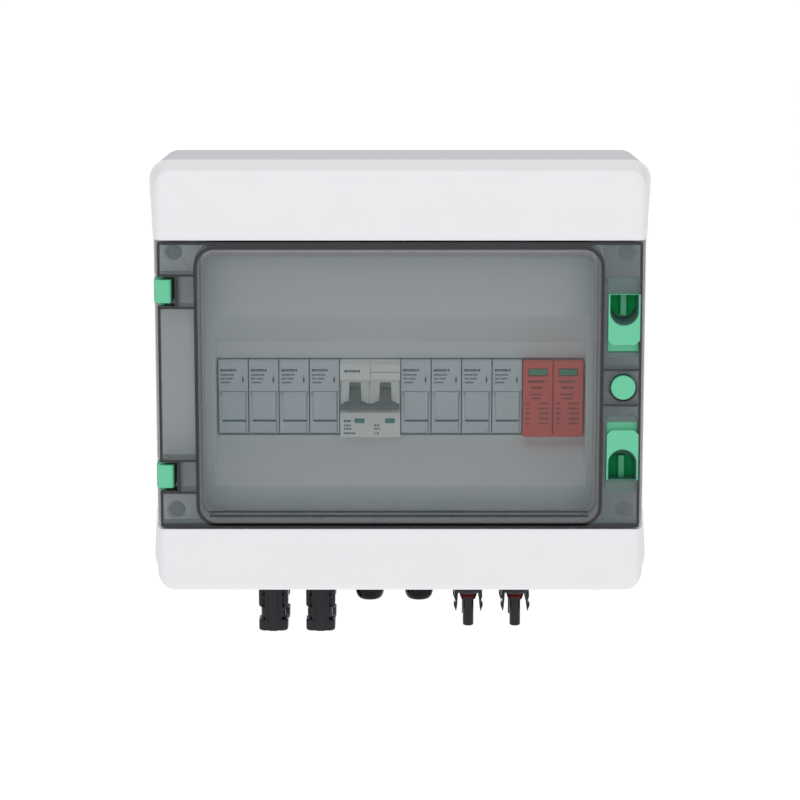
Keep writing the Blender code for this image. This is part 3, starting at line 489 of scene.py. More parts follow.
WALL = 3.0
CORNER_R = 11.2
FACE_HALF_W = 140.9
FACE_HALF_H = 122.8
FACE_LOW_Z = -123.5
FACE_EASE = 4.6            # rounding of the front edges
BOW = 1.2                  # how far the long sides draw in beside the bands
WAIST = 2.7                # and beside the door
DROOP = 1.6                # how far the top sides stay below the CAD's corner
BED_D = DOOR.d.low - 2.3   # ledge of the cover under the door
BAND_TOP_Z = DOOR.z.high + 1.0
BAND_LOW_Z = DOOR.z.low - 0.7
WALL_HOLE = (125, 105)     # the wall screws, from the middle of the back


def upright(name):
    """A piece that stands in the floor of the box: its (x, d), its lowest and its highest z."""
    node = span(name)
    return (node.x.mid, node.d.mid), *node.z


def shell_outline(half_w, top, low, radius, bow, waist, steps=10):
    """A round-cornered outline whose long sides draw in, more so beside the door."""
    def ease(t):
        t = max(0.0, min(1.0, t))
        return t * t * (3 - 2 * t)

    def drawn_in(z):
        inner = min(DOOR.z.high - z, z - DOOR.z.low)
        outer = min(top - radius - z, z - low - radius)
        return bow * ease(outer / 28.0) + (waist - bow) * ease((inner + 1.0) / 5.0)

    count = ceil((top - low - 2 * radius - 1) / 3)
    heights = [top - radius - 3 * k for k in range(1, count)]
    right, left = half_w - radius, -half_w + radius
    points = arc((right, top - radius), radius, 0, 90, steps)
    points += arc((left, top - radius), radius, 90, 180, steps)
    points += [(-half_w + drawn_in(z), z) for z in heights]
    points += arc((left, low + radius), radius, 180, 270, steps)
    points += arc((right, low + radius), radius, 270, 360, steps)
    points += [(half_w - drawn_in(z), z) for z in reversed(heights)]
    return points


def outlines(half_w, high, low, stations):
    """Shell outlines from (d, how far in at sides, top and bottom, corner radius, bow, waist)."""
    return [(d, half_w - sides, high - top, low + bottom, *rest)
            for d, sides, top, bottom, *rest in stations]


def shell(stations):
    """A solid through outlines, each as (d, half width, top, bottom, corner radius, bow, waist)."""
    return loft([[(x, d, z) for x, z in shell_outline(*rest)] for d, *rest in stations])


def base_shell():
    """The back shell: posts for the rail, screw columns, and holes for the wall and connectors."""
    half_w, half_h, joint = BASE.x.high, BASE.z.high, BASE.d.high
    body = shell(outlines(half_w, half_h, -half_h, (
        (0, 1.5, 3.2, 1.0, 10, 0.4, 0.4),
        (0.4, 0.9, 2.6, 0.5, 10.4, 0.4, 0.4),
        (1.2, 0.5, 2.2, 0.0, 10.8, 0.5, 0.5),
        (joint / 2, 0.3, DROOP + 0.2, 0.0, 11, 0.8, 1.4),
        (joint - 4.5, 0.2, DROOP + 0.3, 0.0, 11, BOW, WAIST),
        (joint - 0.8, 0.2, DROOP + 0.3, 0.0, CORNER_R, BOW, WAIST),
        (joint, 0.7, DROOP + 0.8, 0.5, 10.8, BOW, WAIST))))
    inner = half_w - WALL - 0.5
    low, high = -half_h + WALL, half_h - WALL - 2
    hollow = rounded_loft([(3.5, about(0, inner), (low, high), 8),
                           (joint - 6, about(0, inner), (low, high + 1.5), 8)])
    mouth = slab((about(0, half_w - 6), about(0, half_h - 6), 5), (joint - 7, joint + 1), 8)
    groove = rounded_ring(about(0, half_w - 5), (-half_h + 3.2, half_h - 4.6), 8.2, 1.6,
                          (joint - 3, joint + 1))
    carve(body, hollow, mouth, groove)

    fittings, holes = [], []
    for side in (-1, 1):
        x = side * span("rail_screw_right").x.mid
        fittings.append(box(about(x, 8), (3, span("din_rail").d.low - GAP), about(ROW_Z, 15)))
        holes.append(rod((x, ROW_Z), "d", 2.3, 28, 60))
        for seat in SEATS[::2]:
            x, z = side * abs(seat.x.mid), seat.z.mid
            fittings += [rod((x, z), "d", 5.5, 3, joint),
                         box(sorted((x, side * (inner + 0.5))), (3, joint - 10), about(z, 1.5))]
            holes.append(rod((x, z), "d", 2.3, 58, joint + 1))
        for z in (-WALL_HOLE[1], WALL_HOLE[1]):
            place = (side * WALL_HOLE[0], z)
            holes += [rod(place, "d", 2.6, -1, 5),
                      turned(place, "d", [(4.6, -1), (4.6, 0.6), (2.6, 1.6)])]
        holes.append(rounded_loft([(-0.5, sorted((side * 12, side * 112)), (-92, 92), 6),
                                   (0.7, sorted((side * 12.5, side * 111.5)), (-91.5, 91.5), 5.5)]))
    weld(body, *fittings)
    (_, row_d), *_ = upright("string_socket_1")
    stems = [(upright(f"string_{kind}_{n}")[0], 6.3)
             for n in range(1, 5) for kind in ("socket", "plug")]
    stems += [((span(f"gland_body_{hand}").x.mid, row_d), 8.3) for hand in HANDS]
    stems.append((upright("vent_plug")[0], 5.3))
    holes += [rod(place, "z", radius, -half_h - 1, -half_h + WALL + 1) for place, radius in stems]
    carve(body, *holes)
    fixed(soften(body, 0.35), "base_shell", SHADED_BASE_WHITE, "enclosure_white", "base_box")


def cover_shell():
    """The front shell: its bands, the door's ledge, and the mask with the modules' opening."""
    half_w, half_h, joint, face = COVER.x.high, COVER.z.high, COVER.d.low, COVER.d.high
    stations = outlines(half_w, half_h, -half_h, (
        (joint, 0.7, DROOP + 0.5, 0.6, 10.8, BOW, WAIST),
        (joint + 0.5, 0.15, DROOP - 0.1, 0.1, CORNER_R, BOW, WAIST),
        (joint + 1.1, 0.0, DROOP - 0.35, 0.0, CORNER_R, BOW, WAIST),
        (joint + 3.2, 0.0, DROOP - 0.25, 0.0, CORNER_R, BOW, WAIST),
        (joint + 4.8, 0.7, DROOP, 0.7, 10.8, BOW, WAIST),
        (joint + 6.4, 1.8, DROOP + 0.2, 1.5, 10.2, BOW * 0.7, WAIST * 0.6),
        (joint + 8.4, 2.6, DROOP + 0.35, 2.1, 9.8, BOW * 0.3, BOW * 0.4)))
    front = [(face - 14, -2.0, 0.7, -0.3, 9.4, 0.0, 0.2),
             (face - 9.6, -1.2, 1.0, -0.2, 9.2, 0.0, 0.0),
             (face - 8.6, -1.0, 0.1, -0.1, 9.0, 0.0, 0.0),
             (face - 6.2, -0.4, -0.1, 0.0, 8.8, 0.0, 0.0)]
    for k in range(7):
        a = radians(15 * k)
        inward = FACE_EASE * (1 - cos(a))
        front.append((face - FACE_EASE * (1 - sin(a)), inward, inward - 0.2, inward, 8.8 - inward,
                      0.0, 0.0))
    stations += outlines(FACE_HALF_W, FACE_HALF_H, FACE_LOW_Z, front)
    body = shell(stations)
    carve(body, box((-160, 160), (BED_D, 150), (BAND_LOW_Z, BAND_TOP_Z)))
    hollows = [rounded_loft([(joint - 1, (-143.0, 143.0), (-121.8, 121.8), 7.0),
                             (BED_D - WALL, (-139.4, 139.4), (-120.4, 120.4), 6.0)])]
    for z in ((BAND_TOP_Z + WALL, FACE_HALF_H - 3.4), (-FACE_HALF_H + 3.4, BAND_LOW_Z - WALL)):
        hollows.append(slab((about(0, FACE_HALF_W - 3.6), z, 4.0),
                            (BED_D - WALL - 2, face - WALL), 8))
    carve(body, *hollows)

    pocket = (-108.4, 109.2)
    high, low = ROW_Z + 34.2, ROW_Z - 25.2     # edges of the mask's floor
    floor = NOSE_D - 4.1
    back = floor - 2.5
    shelf = BED_D - WALL + 0.4
    bezel = [(BED_D - 0.5, high + 22.6), (shelf, high + 22.2), (back, high + 3.1),
             (back, low - 3.0), (shelf, low - 27.0), (BED_D - 0.5, low - 27.4)]
    weld(body, prism_x(bezel, pocket[0] - 2.5, pocket[1] + 2.5),
         *(rod((seat.x.mid, seat.z.mid), "d", 6.2, joint, BED_D - 0.5) for seat in SEATS))
    cuts = [prism_x([(BED_D + 2, high + 20.5), (floor, high), (floor, low), (BED_D, low - 23.5),
                     (BED_D + 2, low - 26)], *pocket),
            box((-108.1, 108.9), (back - 1, floor + 1), (NOSE_Z - 23.1, NOSE_Z + 22.9))]
    cuts += [turned((seat.x.mid, seat.z.mid), "d", [(2.3, joint - 1), (2.3, 111.5), (4.6, 111.5),
                                                    (4.6, 114.6), (5.0, 116.0), (6.2, BED_D + 0.2)])
             for seat in SEATS]
    through = (BED_D - WALL - 1, BED_D + 1)
    cuts += [box((-140.6, -134.0), through, about(z, 4.8)) for z in CLIP_Z.values()]
    cuts += [box(about(LOCK.x.mid, 3.9), through, off_lock(side, 30.0, 42.0)) for _, side in SIDES]
    carve(body, *cuts)
    fixed(soften(body, 0.5, 3), "cover_shell", WHITE, "enclosure_white", "front_cover")


def cover_seal():
    """The gasket in the groove between the two shells."""
    half_w, half_h, joint = BASE.x.high, BASE.z.high, BASE.d.high
    seal = rounded_ring(about(0, half_w - 5.2), (-half_h + 3.4, half_h - 4.8), 8.0, 1.2,
                        (joint - 2.8, joint - 0.1))
    fixed(crisp(seal), "cover_seal", RUBBER, "seal_rubber", "cover_gasket")


def cover_screws():
    """The four cross-headed screws that hold the front shell."""
    for n, seat in enumerate(SEATS, 1):
        x, z, head = seat.x.mid, seat.z.mid, seat.d.high
        screw = turned((x, z), "d", [(1.2, seat.d.low), (2.0, seat.d.low + 2), (2.0, head - 4.6),
                                     (4.2, head - 4.6), (4.2, head - 1.6), (3.9, head - 0.9),
                                     (3.2, head - 0.3), (2.0, head), (0.6, head + 0.05)])
        carve(screw, *(box(about(x, w), (head - 2, head + 1), about(z, h))
                       for w, h in ((2.6, 0.45), (0.45, 2.6))))
        fixed(crisp(screw), f"screw_{n}", SCREW, "zinc_steel", f"cover_screw_{n}")


# ---- door

PANE_X = (-112.7, 111.6)
PANE_Z = (-74.7, 74.0)
PANE_R = 7.0
RING_X = (-118.7, 117.7)
RING_Z = (-84.4, 79.8)
RING_R = 12.0
RING_W = 2.0
PLATE_D = 134.0            # underside of the door's plate
PLATE_TOP = 137.0
DARK_D = (PLATE_D - 0.1, PLATE_TOP + 0.05)     # depth of the edges that look dark
HINGE = (-137.5, 130)      # the door's axis, as (x, d)
WINDOW = (20.5, 55.0)      # where the latches show, as distances from the lock
WINDOW_HALF_W = 9.6
FRONT_HALF_W = DOOR.x.high - 2.9


def off_lock(side, near, far):
    """Two distances from the lock, as a z range above (1) or below (-1) it."""
    return sorted((LOCK.z.mid + side * near, LOCK.z.mid + side * far))


def latch_windows():
    """Cutters for the two windows that the latches show in."""
    return [prism_d(rounded(about(LOCK.x.mid, WINDOW_HALF_W), off_lock(side, *WINDOW), 1.2, 4),
                    PLATE_D - 1, PLATE_TOP + 2) for _, side in SIDES]


def notches():
    """Cutters for the two places where the hinge clips reach through the door's edge."""
    return [box((-150, -128.2), (DOOR.d.low - 1, PLATE_TOP + 3), about(z, 8.6))
            for z in CLIP_Z.values()]


def ring_outline(by):
    """The ring's outline, drawn in."""
    return inset(RING_X, RING_Z, RING_R, by)


def door_piece(shape, name, material, *nodes):
    """Finish a piece of the smoked door."""
    finish(shape, name, material, "door", "door_smoked", *nodes)


def door_plate():
    """The flat frosted border of the door, open where the ring, the window and the latches are; its
    broad clouding is painted soft shade.
    """
    low, high = DOOR.z.low + 0.3, DOOR.z.high - 0.3
    plate = rounded_plate(about(0, FRONT_HALF_W - 0.9), (low + 0.9, high - 0.9), 1.6,
                          (PLATE_D, PLATE_TOP), 0.3)
    through = (PLATE_D - 1, PLATE_TOP + 1)
    carve(plate, slab(ring_outline(0.0), through), *latch_windows(), *notches(),
          rod(LOCK_PLACE, "d", 9.0, *through, 48))
    door_piece(crisp(plate), "door_plate", FROST_SHADE_CLOUDED, "door")


def door_flange():
    """The side walls of the door, which lean outwards to the back."""
    low, high = DOOR.z.low, DOOR.z.high
    back_w, front_w = DOOR.x.high, FRONT_HALF_W + 0.1
    front = PLATE_D - 0.2
    wall = 1.5

    def ring(d, half, by):
        return [(x, d, z) for x, z in rounded(about(0, half - by), (low + by, high - by),
                                              2.0 - by * 0.9, 6)]

    flange = loft([ring(DOOR.d.low, back_w, 0), ring(front, front_w, 0.2),
                   ring(front, front_w, 0.2 + wall), ring(DOOR.d.low, back_w, wall)], closed=True)
    carve(flange, *notches())
    door_piece(crisp(flange), "door_flange", FLANGE)


def door_rim_and_shadow():
    """The outer front edge, where the plastic is seen through its depth and looks dark, and a dark
    strip across the top that is painted shadow under the cover's band.
    """
    low, high = DOOR.z.low + 0.3, DOOR.z.high
    rim = rounded_ring(about(0, FRONT_HALF_W), (low, high), 1.4, 1.5, DARK_D, 0.2, 6)
    heavy = box(about(0, FRONT_HALF_W - 0.6), DARK_D, (low + 0.6, low + 2.4))
    # A dark strip between the ring and the top edge: painted shadow, where the cover's band
    # overhangs the door.
    across = box((RING_X[0] + 7, RING_X[1] - 7), DARK_D, (RING_Z[1] + 0.02, high - 0.6))
    weld(rim, heavy, across)
    carve(rim, *notches())
    door_piece(crisp(rim), "door_rim_and_shadow", EDGE_AND_SHADOW)


def door_ring():
    """The round-cornered rib that presses on the seal."""
    ring = slab(ring_outline(0.0), DARK_D)
    carve(ring, slab(ring_outline(RING_W), (DARK_D[0] - 1, DARK_D[1] + 1)))
    door_piece(crisp(ring), "door_ring", EDGE_AND_SHADOW)
    press = rounded_ring(*ring_outline(0.2), RING_W - 0.4, (DOOR.d.low, PLATE_D - 0.2), 0.3, 12)
    door_piece(crisp(press), "door_ring_wall", FLANGE)


def door_band():
    """Frosted steps between the ring and the window, darker towards the window: the inner step is a
    darker copy, painted shade for the band's slope next to the window.
    """
    x, z, radius = ring_outline(RING_W)

    def edge(share):
        return (tuple(a + (b - a) * share for a, b in zip(x, PANE_X)),
                tuple(a + (b - a) * share for a, b in zip(z, PANE_Z)),
                radius * (1 - share) + PANE_R * share)

    for number, (start, end, material) in enumerate(((0.0, 0.45, BAND), (0.45, 1.0, BAND_SHADED)), 1):
        strip = slab(edge(start), (PLATE_TOP - 0.6, PLATE_TOP - 0.1))
        carve(strip, slab(edge(end), (PLATE_TOP - 1, PLATE_TOP + 1)))
        door_piece(crisp(strip), f"door_band_{number}", material)


def door_pane():
    """The clear window, raised above the plate, and the two dark steps of its lower edge."""
    pane = rounded_plate(PANE_X, PANE_Z, PANE_R, (PLATE_D + 1.4, DOOR.d.high), 0.5)
    door_piece(crisp(pane), "door_pane", CLEAR)
    z = PANE_Z[0]
    sill = join([box((PANE_X[0] + 2, PANE_X[1] - 2), (PLATE_TOP - 0.5, PLATE_TOP + 0.1), stretch)
                 for stretch in ((z - 1.7, z - 0.7), (z - 4.3, z - 3.2))])
    door_piece(crisp(sill), "door_sill", EDGE_AND_SHADOW)


def door_ribs():
    """Ribs across the door's back beside the hinges and the lock, and the latch guides."""
    depth = (DOOR.d.low + 0.7, DARK_D[1])
    right = (RING_X[1], FRONT_HALF_W - 1.4)
    parts = []
    for _, side in SIDES:
        parts += [box(right, depth, off_lock(side, 9.7, 11.1)),
                  box(right, (121.2, 123.4), off_lock(side, 58.6, 62.0))]
    for z in CLIP_Z.values():
        parts += [box((-FRONT_HALF_W + 1.0, RING_X[0] + 0.5), depth,
                      sorted((z + side * 8.7, z + side * 10.1))) for side in (-1, 1)]
        parts.append(box((-129.6, -127.4), depth, about(z, 8.9)))
    ribs = weld(*parts)
    carve(ribs, *(rod(HINGE, "z", 1.8, z - 10.9, z + 10.9) for z in CLIP_Z.values()))
    door_piece(soften(ribs, 0.2), "door_ribs", EDGE_AND_SHADOW)


def latch_bay():
    """The plate that holds the latches in the door; its dark tint is painted shade, for the deep
    recess behind the latches.
    """
    bay = rounded_plate((RING_X[1] + 0.3, FRONT_HALF_W - 0.6), (RING_Z[0] + 1.0, RING_Z[1] - 0.5),
                        1.0, (121.6, 122.6), 0.2, 4)
    slots = [box(about(LOCK.x.mid, 3.6), (120, 124), off_lock(side, 29.0, 43.0))
             for _, side in SIDES]
    carve(bay, *slots, rod(LOCK_PLACE, "d", 7.6, 120, 124))
    door_piece(crisp(bay), "door_latch_bay_painted_shade", BAY_PAINTED_SHADE)


def lock_insert():
    """The round insert in the place of a key lock, in its collar."""
    collar = turned(LOCK_PLACE, "d", [
        (8.25, PLATE_D - 5), (8.95, PLATE_D - 5), (8.95, PLATE_TOP - 0.1), (8.8, PLATE_TOP),
        (8.4, PLATE_TOP), (8.25, PLATE_TOP - 0.1)], 48, True)
    door_piece(crisp(collar), "lock_collar", FLANGE)
    wide = min(LOCK.x.high - LOCK.x.low, LOCK.z.high - LOCK.z.low) / 2
    low, high = LOCK.d
    insert = turned(LOCK_PLACE, "d", [(5.0, low), (5.0, low + 6), (wide, low + 6),
                                      (wide, high - 0.5), (wide - 0.15, high - 0.2),
                                      (wide - 0.4, high)], 48)
    finish(crisp(insert), "lock_insert", GREEN, "door", "latch_green", "lock_plug")


# ---- hinges and latches

SLIDER_D = (124.0, 133.6)  # depth of the latches' sliders


def hinge_blocks():
    """The two clips that the door hangs on, each with its pin."""
    plan = [(-131.4, BED_D + GAP), (-131.4, 133.4), (-131.9, 135.2), (-132.8, 136.0),
            (-139.6, 136.0), (-142.0, 131.5), (-142.2, BED_D + GAP)]
    for place, z in CLIP_Z.items():
        clip = prism_z(plan, z - 6.9, z + 6.9)
        weld(clip, box((-140.3, -134.3), (BED_D - 3.7, BED_D + 0.8), about(z, 4.5)),
             rod(HINGE, "z", 1.5, z - 10.4, z + 10.4))
        fixed(soften(clip, 0.45, 3), f"hinge_block_{place}", GREEN, "latch_green",
              f"hinge_clip_{place}")


def latch_slides():
    """Each latch: a slider with a chamfered pad and a finger bowl, between two darker tails."""
    x = LOCK.x.mid
    half, chamfer = 9.2, 2.6
    for place, side in SIDES:
        start = 180 if side > 0 else 0

        def spot(u, v):
            return (x + u, LOCK.z.mid + side * v)

        def slice_of(*outline, d=SLIDER_D):
            return prism_d([spot(*point) for point in outline], *d)

        def slot(d, near, far):
            return box(about(x, 4), d, off_lock(side, near, far))

        def dished(centre, radius, edge):
            """A half circle towards the lock, closed by a straight edge."""
            bend = arc(centre, radius, start, start + 180, 24)
            end = LOCK.z.mid + side * edge
            return bend + [(bend[-1][0], end), (bend[0][0], end)]

        def bowl(low, high, by):
            rings = []
            for d in (low, high):
                share = (d - 124.9) / 14.1
                outline = dished(spot(0, 47.1 - 2.9 * share), 7.6 + 0.8 * share - by, 54.4 - by / 2)
                rings.append([(px, d, pz) for px, pz in outline])
            return loft(rings)

        def green(shape, name, material, *nodes):
            finish(shape, name, material, f"latch_{place}", "latch_green", *nodes)

        slider = slice_of((-half, 20.7), (half, 20.7), (half, 54.9), (-half, 54.9))
        near_tail = slice_of((-half + 1.0, 17.6), (half - 1.0, 17.6), (half, 20.0), (half, 20.65),
                             (-half, 20.65), (-half, 20.0))
        carve(near_tail, slot((123, 130.5), 16, 30.0))
        far_tail = slice_of((-half, 54.95), (half, 54.95), (half, 63.2), (-half, 63.2))
        green(crisp(near_tail), f"latch_tail_{place}_near", TAIL)
        green(crisp(far_tail), f"latch_tail_{place}_far", TAIL)
        pad = slice_of((-half, 54.5), (-half, 25.0 + chamfer), (-half + chamfer, 25.0),
                       (half - chamfer, 25.0), (half, 25.0 + chamfer), (half, 54.5),
                       d=(133.0, 137.6))
        weld(slider, pad, box(about(x, 2.7), (113.2, 124.5), off_lock(side, 35, 41)))
        # The bowl's wall, greyed by painted shade and reflection.
        wall = bowl(125.0, 137.1, 0.05)
        carve(wall, bowl(124.0, 138.0, 0.4))
        green(crisp(wall), f"latch_wall_{place}", CRESCENT_SHADED)
        carve(slider, bowl(124.9, 139.0, 0.0), slot((123, 124.7), 16, 34.0),
              slot((123, 130.5), 16, 30.0))
        green(soften(slider, 0.25), f"latch_slide_{place}", GREEN, f"latch_{place}")
        well = prism_d(dished(spot(0, 48.2), 7.6, 54.2), 125.0, 126.2)
        green(soften(well, 0.2), f"latch_well_{place}", DEEP_GREEN)
        rib = prism_z([(x - 2.2, 126.3), (x - 1.9, 129.0), (x - 1.5, 129.4), (x + 1.5, 129.4),
                       (x + 1.9, 129.0), (x + 2.2, 126.3)], *off_lock(side, 41.4, 54.1))
        green(crisp(rib), f"latch_rib_{place}", RIB_GREEN)


def latch_coils():
    """Compression springs between the door and the latches."""
    turns, per_turn, end, radius = 7, 20, 0.45, 2.0
    for place, side in SIDES:
        spring = span(f"latch_spring_{place}")
        foot = spring.z.low if side > 0 else spring.z.high
        length = spring.z.high - spring.z.low
        rise = side * (length - 2 * end) / (turns * per_turn)
        points = []
        for i in range(turns * per_turn + 1):
            a = 2 * pi * i / per_turn
            points.append((spring.x.mid + radius * cos(a), spring.d.mid + radius * sin(a),
                           foot + side * end + rise * i))
        coil = crisp(sweep(points, 0.4, 8), 60)
        finish(coil, f"latch_coil_{place}", SPRING, "door", "spring_steel", f"latch_spring_{place}")
        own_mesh(coil)


# ---- modules on the rail

HEADING = (1.5, 1.0, 0.8, 1.1, 1.4, 0.5, 1.0)  # widths of the blocks in a label's top row


def fuse_drawers():
    """The fuse carriers, whose rear is round about the pivot so that they can tilt out."""
    half, reach = 8.7, 41.3
    tip = 1.147                         # angle at which the rear clears the pivot's side
    for n in range(1, 9):
        node = span(f"fuse_carrier_{n}")
        x, low, front = node.x.mid, NOSE_Z - 19.5, node.d.high - 4.0   # low and front: the pivot
        rear = [(front - 17, low - 2.4)]
        rear += [(front - reach * cos(a), low + reach * sin(a))
                 for a in (tip + (radians(86) - tip) * k / 10 for k in range(11))]
        rear += [(front, low + 41), (front, low - 2.4)]
        drawer = prism_x(rear, x - 6.65, x + 6.65)
        toe = [(front + u, low + v) for u, v in arc((0, 0), 2.6, 200, 330, 8)]
        face = toe + [(front + u, low + v) for u, v in ((2.8, 0.5), (2.8, 22.9), (3.6, 23.4),
                                                        (3.6, 40.6), (3.2, 41.4), (2.4, 42.0),
                                                        (-2.8, 42.0))]
        weld(drawer, prism_x(face, x - half, x + half),
             box((x - 6.6, x + 7.0), (front + 2, front + 3.9), (low + 6.4, low + 22.9)))
        carve(drawer, *(box((x + x0, x + x1), (front + d0, front + d1), (low + z0, low + z1))
                        for x0, x1, d0, d1, z0, z1 in ((-5.45, 5.45, -20, -3.9, 0.2, 38.8),
                                                       (7.1, 7.6, 1.4, 5, -4, 23.2),
                                                       (-6.85, -6.65, 2.9, 5, 6.2, 23.2),
                                                       (-6.7, 7.1, -1.2, 5, 4.9, 6.3),
                                                       (-8.0, -6.7, 1.6, 5, 20.8, 23.3),
                                                       (7.0, 8.2, 1.6, 5, 20.8, 23.3))))
        finish(soften(drawer, 0.16), f"fuse_drawer_{n}", MODULE, f"fuse_carrier_{n}", "module_grey",
               f"fuse_carrier_{n}")


def blocks(x, z, widths, height, gap=0.32):
    """Printed blocks in a row from x on, as (x range, z range). A negative width is a space."""
    row = []
    for width in widths:
        if width > 0:
            row.append(((x, x + width), (z, z + height)))
        x += abs(width) + gap
    return row


def print_on(name, marks, d, material, body, slot):
    """Printed (x range, z range) marks that stand hardly proud of the face at d."""
    relief = join([box(x, (d - 0.02, d + 0.05), z) for x, z in marks])
    finish(crisp(relief), name, material, body, slot)


def fuse_labels():
    """Rows of plain blocks that spell nothing, and a mark like an arrow."""
    for n in range(1, 9):
        node = span(f"fuse_carrier_{n}")
        x, z = node.x.mid, NOSE_Z
        rows = blocks(x - 7.4, z + 15.7, HEADING, 1.5)
        rows += blocks(x - 7.2, z + 13.2, (1.0, 0.9, 0.8, 0.9, 0.4, 0.8, 0.8), 1.0)
        rows += blocks(x - 7.2, z + 10.9, (0.9, 0.9, -0.3, 0.5, 0.8, 0.8, 0.8), 1.0)
        rows += blocks(x - 7.2, z + 8.6, (0.5, 0.9, 0.9, 0.9, 0.8), 1.0)
        rows += [((x + 5.6, x + 5.85), (z + 8.3, z + 13.8)),
                 ((x + 5.2, x + 6.25), (z + 9.6, z + 12.0))]
        print_on(f"fuse_label_{n}", rows, node.d.high - 0.4, INK, f"fuse_carrier_{n}",
                 "module_grey")


def breaker_case():
    """The breaker: shoulders with terminals, a nose with a hollow for the levers, and labels."""
    x = ROW.x.mid
    half = 17.8
    shoulder = NOSE_D - 7.6
    nose = NOSE_D + PROUD
    foot = [(58, -41), (54, -24), (47.6, -24), (47.6, -15.9), (49.7, -15.9), (49.7, -17.8),
            (51.3, -17.8)]
    outline = [(d, ROW_Z + z) for d, z in foot + [(d, -z) for d, z in reversed(foot)]]
    outline += [(shoulder, ROW_Z + 41), (shoulder, NOSE_Z + 22.5)]
    outline += [(nose - u, NOSE_Z + v) for u, v in (
        (3.4, 22.5), (0.4, 20.6), (0.0, 20.2), (0.0, 11.4), (0.9, 10.4), (2.6, 9.2), (4.6, 6.0),
        (5.2, 1.0), (4.4, -4.4), (2.9, -7.6), (1.7, -8.3), (1.0, -8.6), (1.0, -23.2), (1.5, -23.8))]
    outline += [(NOSE_D - 3.4, NOSE_Z - 23.8), (NOSE_D - 3.4, NOSE_Z - 22.7),
                (shoulder, NOSE_Z - 22.7), (shoulder, ROW_Z - 41)]
    case = prism_x(outline, x - half, x + half)
    cuts = []
    for pole in POLES:
        cuts += [box(about(pole, 3.4), (92, nose + 1), (ROW_Z - 6.0, ROW_Z + 10.9)),
                 box(about(pole, 2.6), (73.4, 76.6), (ROW_Z + 32, ROW_Z + 42)),
                 rod((pole, 70), "z", 3.0, ROW_Z - 42, ROW_Z - 32)]
        cuts += [rod((pole, ROW_Z + z), "d", 2.8, shoulder - 9, shoulder + 1) for z in (-32, 32)]
        cuts.append(box((pole - 0.3, pole + 5.6), (nose - 1.8, nose + 1),
                        (NOSE_Z - 15.0, NOSE_Z - 12.1)))
    cuts.append(rod((POLES[0], 64), "z", 2.3, ROW_Z + 32, ROW_Z + 42))
    for edge, groove in ((-half, 1.6), (-0.35, 0.7), (half, 1.6)):
        cuts.append(box(about(x + edge, groove / 2), (nose - 5.6, nose - 1.1),
                        (NOSE_Z - 8.2, NOSE_Z + 10.2)))
    carve(case, *cuts)
    fixed(soften(case, 0.2), "breaker_case", BREAKER, "breaker_grey", "mcb_body")
    for side, pole in zip(HANDS, POLES):
        flag = rounded_plate((pole - 0.1, pole + 5.4), (NOSE_Z - 14.8, NOSE_Z - 12.3), 0.3,
                             (nose - 1.7, nose - 1.15), 0.1, 3)
        fixed(crisp(flag), f"breaker_flag_{side}", TEAL, "breaker_grey")
    trim = prism_x([(nose - u, NOSE_Z - v) for u, v in ((4.0, 5.4), (2.5, 8.1), (2.3, 8.1),
                                                        (3.6, 5.2))], *about(x, half - 0.3))
    fixed(crisp(trim), "breaker_trim", BEIGE, "breaker_grey")
    plate = blocks(x - 15.2, NOSE_Z + 15.6, HEADING, 1.5)
    plate += [((x + 0.1, x + 0.3), (NOSE_Z + 12.2, NOSE_Z + 20.0)),
              ((x + 0.3, x + half - 0.6), (NOSE_Z + 15.6, NOSE_Z + 15.9))]
    print_on("breaker_label_top", plate, nose, INK, "enclosure", "breaker_grey")
    rows = blocks(x - 15.6, NOSE_Z - 14.4, (1.1, 1.1, 1.1), 1.4)
    for z, left, right in ((-16.9, (0.8, 0.8, 0.8, 0.8), (1.0, 0.4, 0.9)),
                           (-18.9, (0.8, 0.8, 0.8, 0.8), (0.9, 0.9, -0.2, 0.6)),
                           (-21.6, (0.9, 0.9, 0.9, 0.6, 0.9, 0.9), (0.5, -0.4, 0.9))):
        rows += blocks(x - 15.6, NOSE_Z + z, left, 1.1) + blocks(x + 2.4, NOSE_Z + z, right, 1.2)
    print_on("breaker_label_low", rows, nose - 1.0, INK, "enclosure", "breaker_grey")


def breaker_lever():
    """Two levers on drums, flared above the tie bar that joins them."""
    x = ROW.x.mid
    hinge = next(j for j in frame["joints"] if j["name"] == "mcb_lever")["pos_m"]
    pivot = (-hinge[1] / MM, hinge[2] / MM)
    direction = Vector((cos(radians(-27)), sin(radians(-27))))
    across = Vector((-direction.y, direction.x))
    reach = 13.6

    def point(along, over):
        return tuple(Vector(pivot) + direction * along + across * over)

    def section(*points):
        return [point(*p) for p in points]

    bar = prism_x(section((reach - 2.6, -1.9), (reach, -1.9), (reach, 1.1), (reach - 2.6, 1.1)),
                  x - 17.3, x + 17.3)
    arm = section((3.0, -1.8), (reach - 1, -1.4), (reach - 1, 1.4), (6.5, 2.4), (3.0, 3.0))
    parts, drums = [], []
    for pole in POLES:
        flare = [[(pole - wide, *point(along, -1.0)), (pole + wide, *point(along, -1.0)),
                  (pole + wide, *point(along, thick)), (pole - wide, *point(along, thick))]
                 for wide, along, thick in ((7.4, reach - 1.8, 1.3), (5.4, reach - 5.0, 1.0))]
        parts += [prism_x(arm, pole - 3.1, pole + 3.1), loft(flare)]
        drums.append(turned(pivot, "x", [(3.6, pole - 3.1), (3.6, pole + 3.1)], 40))
    weld(bar, *parts)
    finish(soften(bar, 0.22), "breaker_lever", LEVER, "mcb_handle", "lever_dark", "mcb_handle")
    finish(crisp(join(drums)), "breaker_drum", LEVER, "mcb_handle", "lever_dark")


